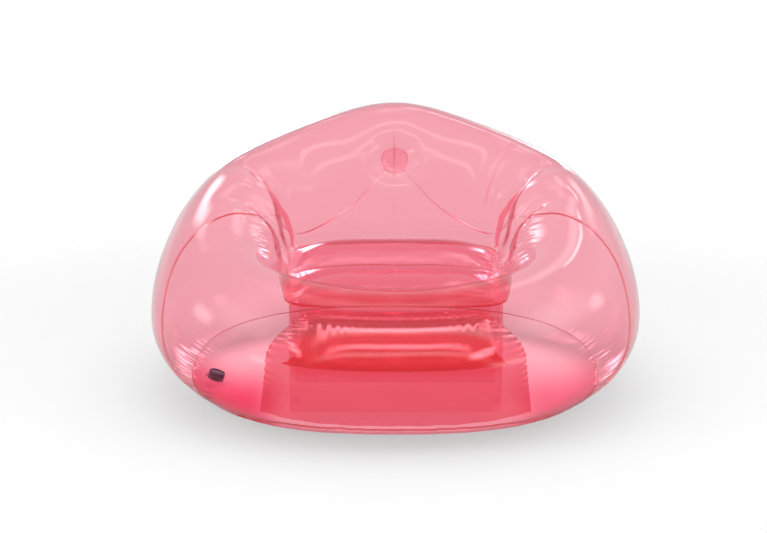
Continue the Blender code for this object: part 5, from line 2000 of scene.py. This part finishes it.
    def tether(self) -> None:
        """A narrow strip that loops from the insert's rim round to the cap's edge."""
        rim = self.barrel + self.rim_width + FILM.gap
        cap_top = self.rim_base - FILM.gap
        high = (self.rim_top + self.rim_base) / 2
        low = cap_top - self.cap_thickness / 2
        far = rim + 0.0045
        knots = np.array(
            [(rim, high), (far - 0.001, high), (far, (high + low) / 2), (far - 0.001, low)]
            + [(self.cap_radius + FILM.gap, low)]
        )
        curve = refined(knots, 10)
        tangent = unit(np.gradient(curve, axis=0))
        side = np.stack([-tangent[:, 1], tangent[:, 0]], -1) * 0.0005
        edge = np.concatenate([curve + side, (curve - side)[::-1]])
        widths = np.linspace(-0.003, 0.003, 7)
        count = len(edge)
        points = np.stack(
            [
                np.broadcast_to(edge[:, 0], (7, count)),
                np.broadcast_to(widths[:, None], (7, count)),
                np.broadcast_to(edge[:, 1], (7, count)),
            ],
            axis=-1,
        ).reshape(-1, 3)
        quads = grid_quads(7, count, True)
        half = count // 2
        index = np.arange(half - 1)
        cap = np.stack([index, index + 1, count - 2 - index, count - 1 - index], -1)
        last = cap + 6 * count
        quads = np.concatenate([quads, cap[:, ::-1], last])
        make_piece(
            "cap_tether_strip",
            VALVE_PLACE.world(points),
            quads,
            DARK,
            Body.INSERT,
            ["cap_tether"],
        )


@dataclass(frozen=True)
class SoftBox:
    """A soft-edged bright oblong round the chair, mirrored in the film.

    Its middle lies at a bearing from the front towards +X and at a height over the horizon, and its
    half width and half height are angles too. Each edge fades over the given share of its half size.
    A box with a bend curves up at both ends, by bend times the slope aside squared. A negative strength
    makes it a dark card.
    """

    bearing: float
    height: float
    half_width: float
    half_height: float
    strength: float
    softness: float = 0.6
    bend: float = 0.0

    def axes(self) -> tuple[Vector, Vector, Vector]:
        """Directions of the box's middle, its right-hand side and its top."""
        turn, rise = math.radians(self.bearing), math.radians(self.height)
        level = Vector((math.sin(turn), -math.cos(turn), 0.0))
        middle = level * math.cos(rise) + Vector((0.0, 0.0, math.sin(rise)))
        right = Vector((math.cos(turn), math.sin(turn), 0.0))
        return middle, right, right.cross(middle)

    def light(self, nodes: NodeTree, direction: bpy.types.NodeSocket) -> bpy.types.NodeSocket:
        """Strength seen in a direction: the product of two smooth steps of its slopes aside."""
        middle, right, above = self.axes()
        ahead = self._along(nodes, direction, middle)
        result = nodes.sum("GREATER_THAN", ahead, 0.02)
        aside = nodes.sum("DIVIDE", self._along(nodes, direction, right), ahead)
        rise = nodes.sum("DIVIDE", self._along(nodes, direction, above), ahead)
        curve = nodes.sum("MULTIPLY", nodes.sum("MULTIPLY", aside, aside), self.bend)
        for slope, half in ((aside, self.half_width), (nodes.sum("SUBTRACT", rise, curve), self.half_height)):
            edge = nodes.add("ShaderNodeMapRange")
            edge.interpolation_type = "SMOOTHSTEP"
            reach = math.tan(math.radians(half))
            sockets(edge, From_Min=reach * (1 + self.softness), From_Max=reach * (1 - self.softness))
            nodes.join(nodes.sum("ABSOLUTE", slope, 0.0), edge.inputs["Value"])
            result = nodes.sum("MULTIPLY", result, edge.outputs["Result"])
        return nodes.sum("MULTIPLY", result, self.strength)

    def _along(
        self, nodes: NodeTree, direction: bpy.types.NodeSocket, axis: Vector
    ) -> bpy.types.NodeSocket:
        """Share of a direction along one axis."""
        node = nodes.add("ShaderNodeVectorMath")
        node.operation = "DOT_PRODUCT"
        nodes.join(direction, node.inputs[0])
        node.inputs[1].default_value = axis
        return node.outputs["Value"]


@dataclass(frozen=True)
class Lamp:
    """A wide lamp for the matt parts and the floor: its place, target, size and power."""

    name: str
    place: tuple[float, float, float]
    target: tuple[float, float, float]
    size: tuple[float, float]
    power: float


@dataclass
class Studio:
    """Pale floor, white backdrop, soft boxes, lamps and the camera of the photograph."""

    lamps: tuple[Lamp, ...] = (
        Lamp("top", (0.0, -0.3, 3.2), (0.0, 0.0, 0.3), (3.0, 3.0), 30.0),
        Lamp("left", (-3.0, -1.6, 2.2), (0.0, 0.0, 0.3), (1.6, 1.8), 12.0),
        Lamp("right", (3.0, -1.2, 2.4), (0.0, 0.0, 0.3), (1.6, 1.8), 12.0),
    )
    boxes: tuple[SoftBox, ...] = (
        SoftBox(4.0, 68.0, 24.0, 5.0, 4.6, 0.8, 1.8),
        SoftBox(2.0, 30.0, 24.0, 3.8, 3.8, 0.8, 1.1),
        SoftBox(0.0, 10.0, 38.0, 16.0, -0.30, 0.9),
        SoftBox(-69.0, 41.0, 14.0, 14.0, 3.0, 0.9),
        SoftBox(74.0, 41.0, 18.0, 14.0, 4.0, 0.9),
        SoftBox(98.0, 34.0, 34.0, 20.0, 0.8, 0.9),
        SoftBox(155.0, 47.5, 1.4, 2.0, 6.5, 0.5),
        SoftBox(151.0, 33.0, 4.0, 5.0, 2.2, 0.8),
        SoftBox(-152.0, 34.0, 5.0, 7.0, 6.0, 0.8),
        SoftBox(-173.0, 66.0, 8.0, 8.0, 2.0, 0.9),
        SoftBox(165.0, 50.0, 4.0, 6.0, 2.2, 0.9),
        SoftBox(180.0, -14.0, 60.0, 14.0, 0.55, 0.9),
        SoftBox(-169.0, 5.0, 3.0, 4.5, 9.0),
        SoftBox(164.0, 14.0, 2.5, 6.0, 7.0),
        SoftBox(40.0, 2.0, 8.0, 4.0, 4.5),
        SoftBox(-51.0, 0.0, 4.0, 4.0, 4.5),
        SoftBox(-93.0, 22.0, 6.0, 6.0, 6.0),
        SoftBox(103.0, 25.0, 5.0, 5.0, 5.0),
    )
    mirrored_base: tuple[float, float] = (0.25, 0.80)
    world_light: float = 0.72
    floor_colour: float = 0.88
    # An even glow of the floor for the camera, and a painted pool of light under the chair, seen only through the
    # film.
    floor_glow_and_painted_light: tuple[float, float] = (0.12, 0.80)
    painted_light_reach: tuple[float, float] = (0.56, 0.45)
    distance: float = 4.0
    elevation: float = 14.0
    target: tuple[float, float, float] = (-0.033, 0.0, 0.33)
    focal_pixels: float = 1408.0
    frame_width: float = 767.0

    def build(self) -> None:
        """Set the view, the camera, the world, the floor and the lamps."""
        scene = bpy.context.scene
        scene.view_settings.view_transform = "Standard"
        scene.cycles.transparent_max_bounces = 64
        scene.cycles.max_bounces = 16
        scene.cycles.glossy_bounces = 6
        scene.cycles.diffuse_bounces = 4
        self.camera()
        self.world()
        self.floor()
        for lamp in self.lamps:
            self.lamp(lamp)

    def camera(self) -> None:
        """The camera that fits the chair's outline in the photograph."""
        data = bpy.data.cameras.new("camera")
        data.lens = self.focal_pixels / self.frame_width * data.sensor_width
        item = bpy.data.objects.new("camera", data)
        bpy.context.scene.collection.objects.link(item)
        tilt = math.radians(self.elevation)
        away = Vector((0.0, -math.cos(tilt), math.sin(tilt)))
        item.location = Vector(self.target) + away * self.distance
        item.rotation_euler = (-away).to_track_quat("-Z", "Y").to_euler()
        bpy.context.scene.camera = item

    def world(self) -> None:
        """White where the camera sees it, plain light elsewhere, and in mirrors the soft boxes.

        Behind them it is pale grey above the horizon and darker below.
        """
        world = bpy.data.worlds.new("studio")
        bpy.context.scene.world = world
        world.use_nodes = True
        world.node_tree.nodes.clear()
        nodes = NodeTree(world.node_tree)
        path = nodes.add("ShaderNodeLightPath").outputs
        direction = nodes.add("ShaderNodeTexCoord").outputs["Generated"]
        height = nodes.add("ShaderNodeSeparateXYZ")
        nodes.join(direction, height.inputs[0])
        ground = nodes.add("ShaderNodeMapRange", From_Min=-0.15, From_Max=0.05)
        sockets(ground, To_Min=self.mirrored_base[0], To_Max=self.mirrored_base[1])
        nodes.join(height.outputs["Z"], ground.inputs["Value"])
        mirrored = ground.outputs["Result"]
        for box in self.boxes:
            mirrored = nodes.sum("ADD", mirrored, box.light(nodes, direction))
        seen = nodes.sum("MAXIMUM", path["Is Camera Ray"], path["Is Transmission Ray"])
        plain = nodes.sum("MULTIPLY", nodes.sum("SUBTRACT", 1.0, seen), self.world_light)
        plain = nodes.sum("ADD", plain, seen)
        glossy = path["Is Glossy Ray"]
        others = nodes.sum("MULTIPLY", nodes.sum("SUBTRACT", 1.0, glossy), plain)
        light = nodes.add("ShaderNodeBackground", Color=(1, 1, 1, 1))
        strength = nodes.sum("ADD", nodes.sum("MULTIPLY", mirrored, glossy), others)
        nodes.join(strength, light.inputs["Strength"])
        output = nodes.add("ShaderNodeOutputWorld")
        nodes.join(light.outputs[0], output.inputs["Surface"])

    def floor(self) -> None:
        """A pale floor that keeps the chair's shadow and fades into the white world far out.

        It glows a little, and under the chair, where it is seen through the film, a pool of painted light
        stands in for the light that the real film passes. It lies a hair below the base panel, so that the two faces
        never share a plane.
        """
        size, low = 8.0, -0.0006
        mesh = bpy.data.meshes.new("floor")
        corners = [(-size, -size, low), (size, -size, low), (size, size, low), (-size, size, low)]
        mesh.from_pydata(corners, [], [(0, 1, 2, 3)])
        item = bpy.data.objects.new("floor", mesh)
        bpy.context.scene.collection.objects.link(item)
        made = bpy.data.materials.new("floor")
        made.use_nodes = True
        made.node_tree.nodes.clear()
        nodes = NodeTree(made.node_tree)
        path = nodes.add("ShaderNodeLightPath").outputs
        seen = nodes.sum("MAXIMUM", path["Is Camera Ray"], path["Is Transmission Ray"])
        matt = nodes.add("ShaderNodeBsdfDiffuse", Color=(*(self.floor_colour,) * 3, 1))
        glow = nodes.add("ShaderNodeEmission", Color=(1, 1, 1, 1))
        place = nodes.add("ShaderNodeTexCoord")
        flat = nodes.add("ShaderNodeVectorMath")
        flat.operation = "MULTIPLY"
        nodes.join(place.outputs["Object"], flat.inputs[0])
        flat.inputs[1].default_value = (1 / self.painted_light_reach[0], 1 / self.painted_light_reach[1], 0.0)
        inside = nodes.add("ShaderNodeVectorMath")
        inside.operation = "LENGTH"
        nodes.join(flat.outputs[0], inside.inputs[0])
        # Painted light: a pool of glow under the chair, only where the floor is seen through the film.
        under = nodes.add("ShaderNodeMapRange", From_Min=1.20, From_Max=0.88)
        under.interpolation_type = "SMOOTHSTEP"
        sockets(under, To_Min=0.0, To_Max=self.floor_glow_and_painted_light[1] - self.floor_glow_and_painted_light[0])
        nodes.join(inside.outputs["Value"], under.inputs["Value"])
        through = nodes.sum("GREATER_THAN", path["Transparent Depth"], 0.5)
        lit = nodes.sum("ADD", nodes.sum("MULTIPLY", under.outputs["Result"], through), self.floor_glow_and_painted_light[0])
        nodes.join(nodes.sum("MULTIPLY", seen, lit), glow.inputs["Strength"])
        both = nodes.add("ShaderNodeAddShader")
        nodes.join(matt.outputs[0], both.inputs[0])
        nodes.join(glow.outputs[0], both.inputs[1])
        reach = nodes.add("ShaderNodeVectorMath")
        reach.operation = "LENGTH"
        nodes.join(place.outputs["Object"], reach.inputs[0])
        fade = nodes.add("ShaderNodeMapRange", From_Min=1.1, From_Max=2.3)
        fade.interpolation_type = "SMOOTHSTEP"
        nodes.join(reach.outputs["Value"], fade.inputs["Value"])
        far = nodes.add("ShaderNodeMixShader")
        nodes.join(fade.outputs["Result"], far.inputs[0])
        nodes.join(both.outputs[0], far.inputs[1])
        nodes.join(nodes.add("ShaderNodeBsdfTransparent").outputs[0], far.inputs[2])
        output = nodes.add("ShaderNodeOutputMaterial")
        nodes.join(far.outputs[0], output.inputs["Surface"])
        mesh.materials.append(made)
        item.visible_glossy = False

    def lamp(self, lamp: Lamp) -> None:
        """One lamp, not seen by the camera or in the film."""
        data = bpy.data.lights.new(lamp.name, "AREA")
        data.shape = "RECTANGLE"
        data.size, data.size_y = lamp.size
        data.energy = lamp.power
        item = bpy.data.objects.new(lamp.name, data)
        bpy.context.scene.collection.objects.link(item)
        item.location = lamp.place
        direction = Vector(lamp.target) - Vector(lamp.place)
        item.rotation_euler = direction.to_track_quat("-Z", "Y").to_euler()
        item.visible_camera = False
        item.visible_glossy = False


def main() -> None:
    """Build the chair's looks and the studio."""
    logging.basicConfig(level=logging.INFO, format="%(name)s: %(message)s")
    Studio().build()
    for assembly in (OuterBody(), Seat(), FrontFill(), BackTuft(), PlugValve()):
        assembly.build()


if __name__ == "__main__":
    main()
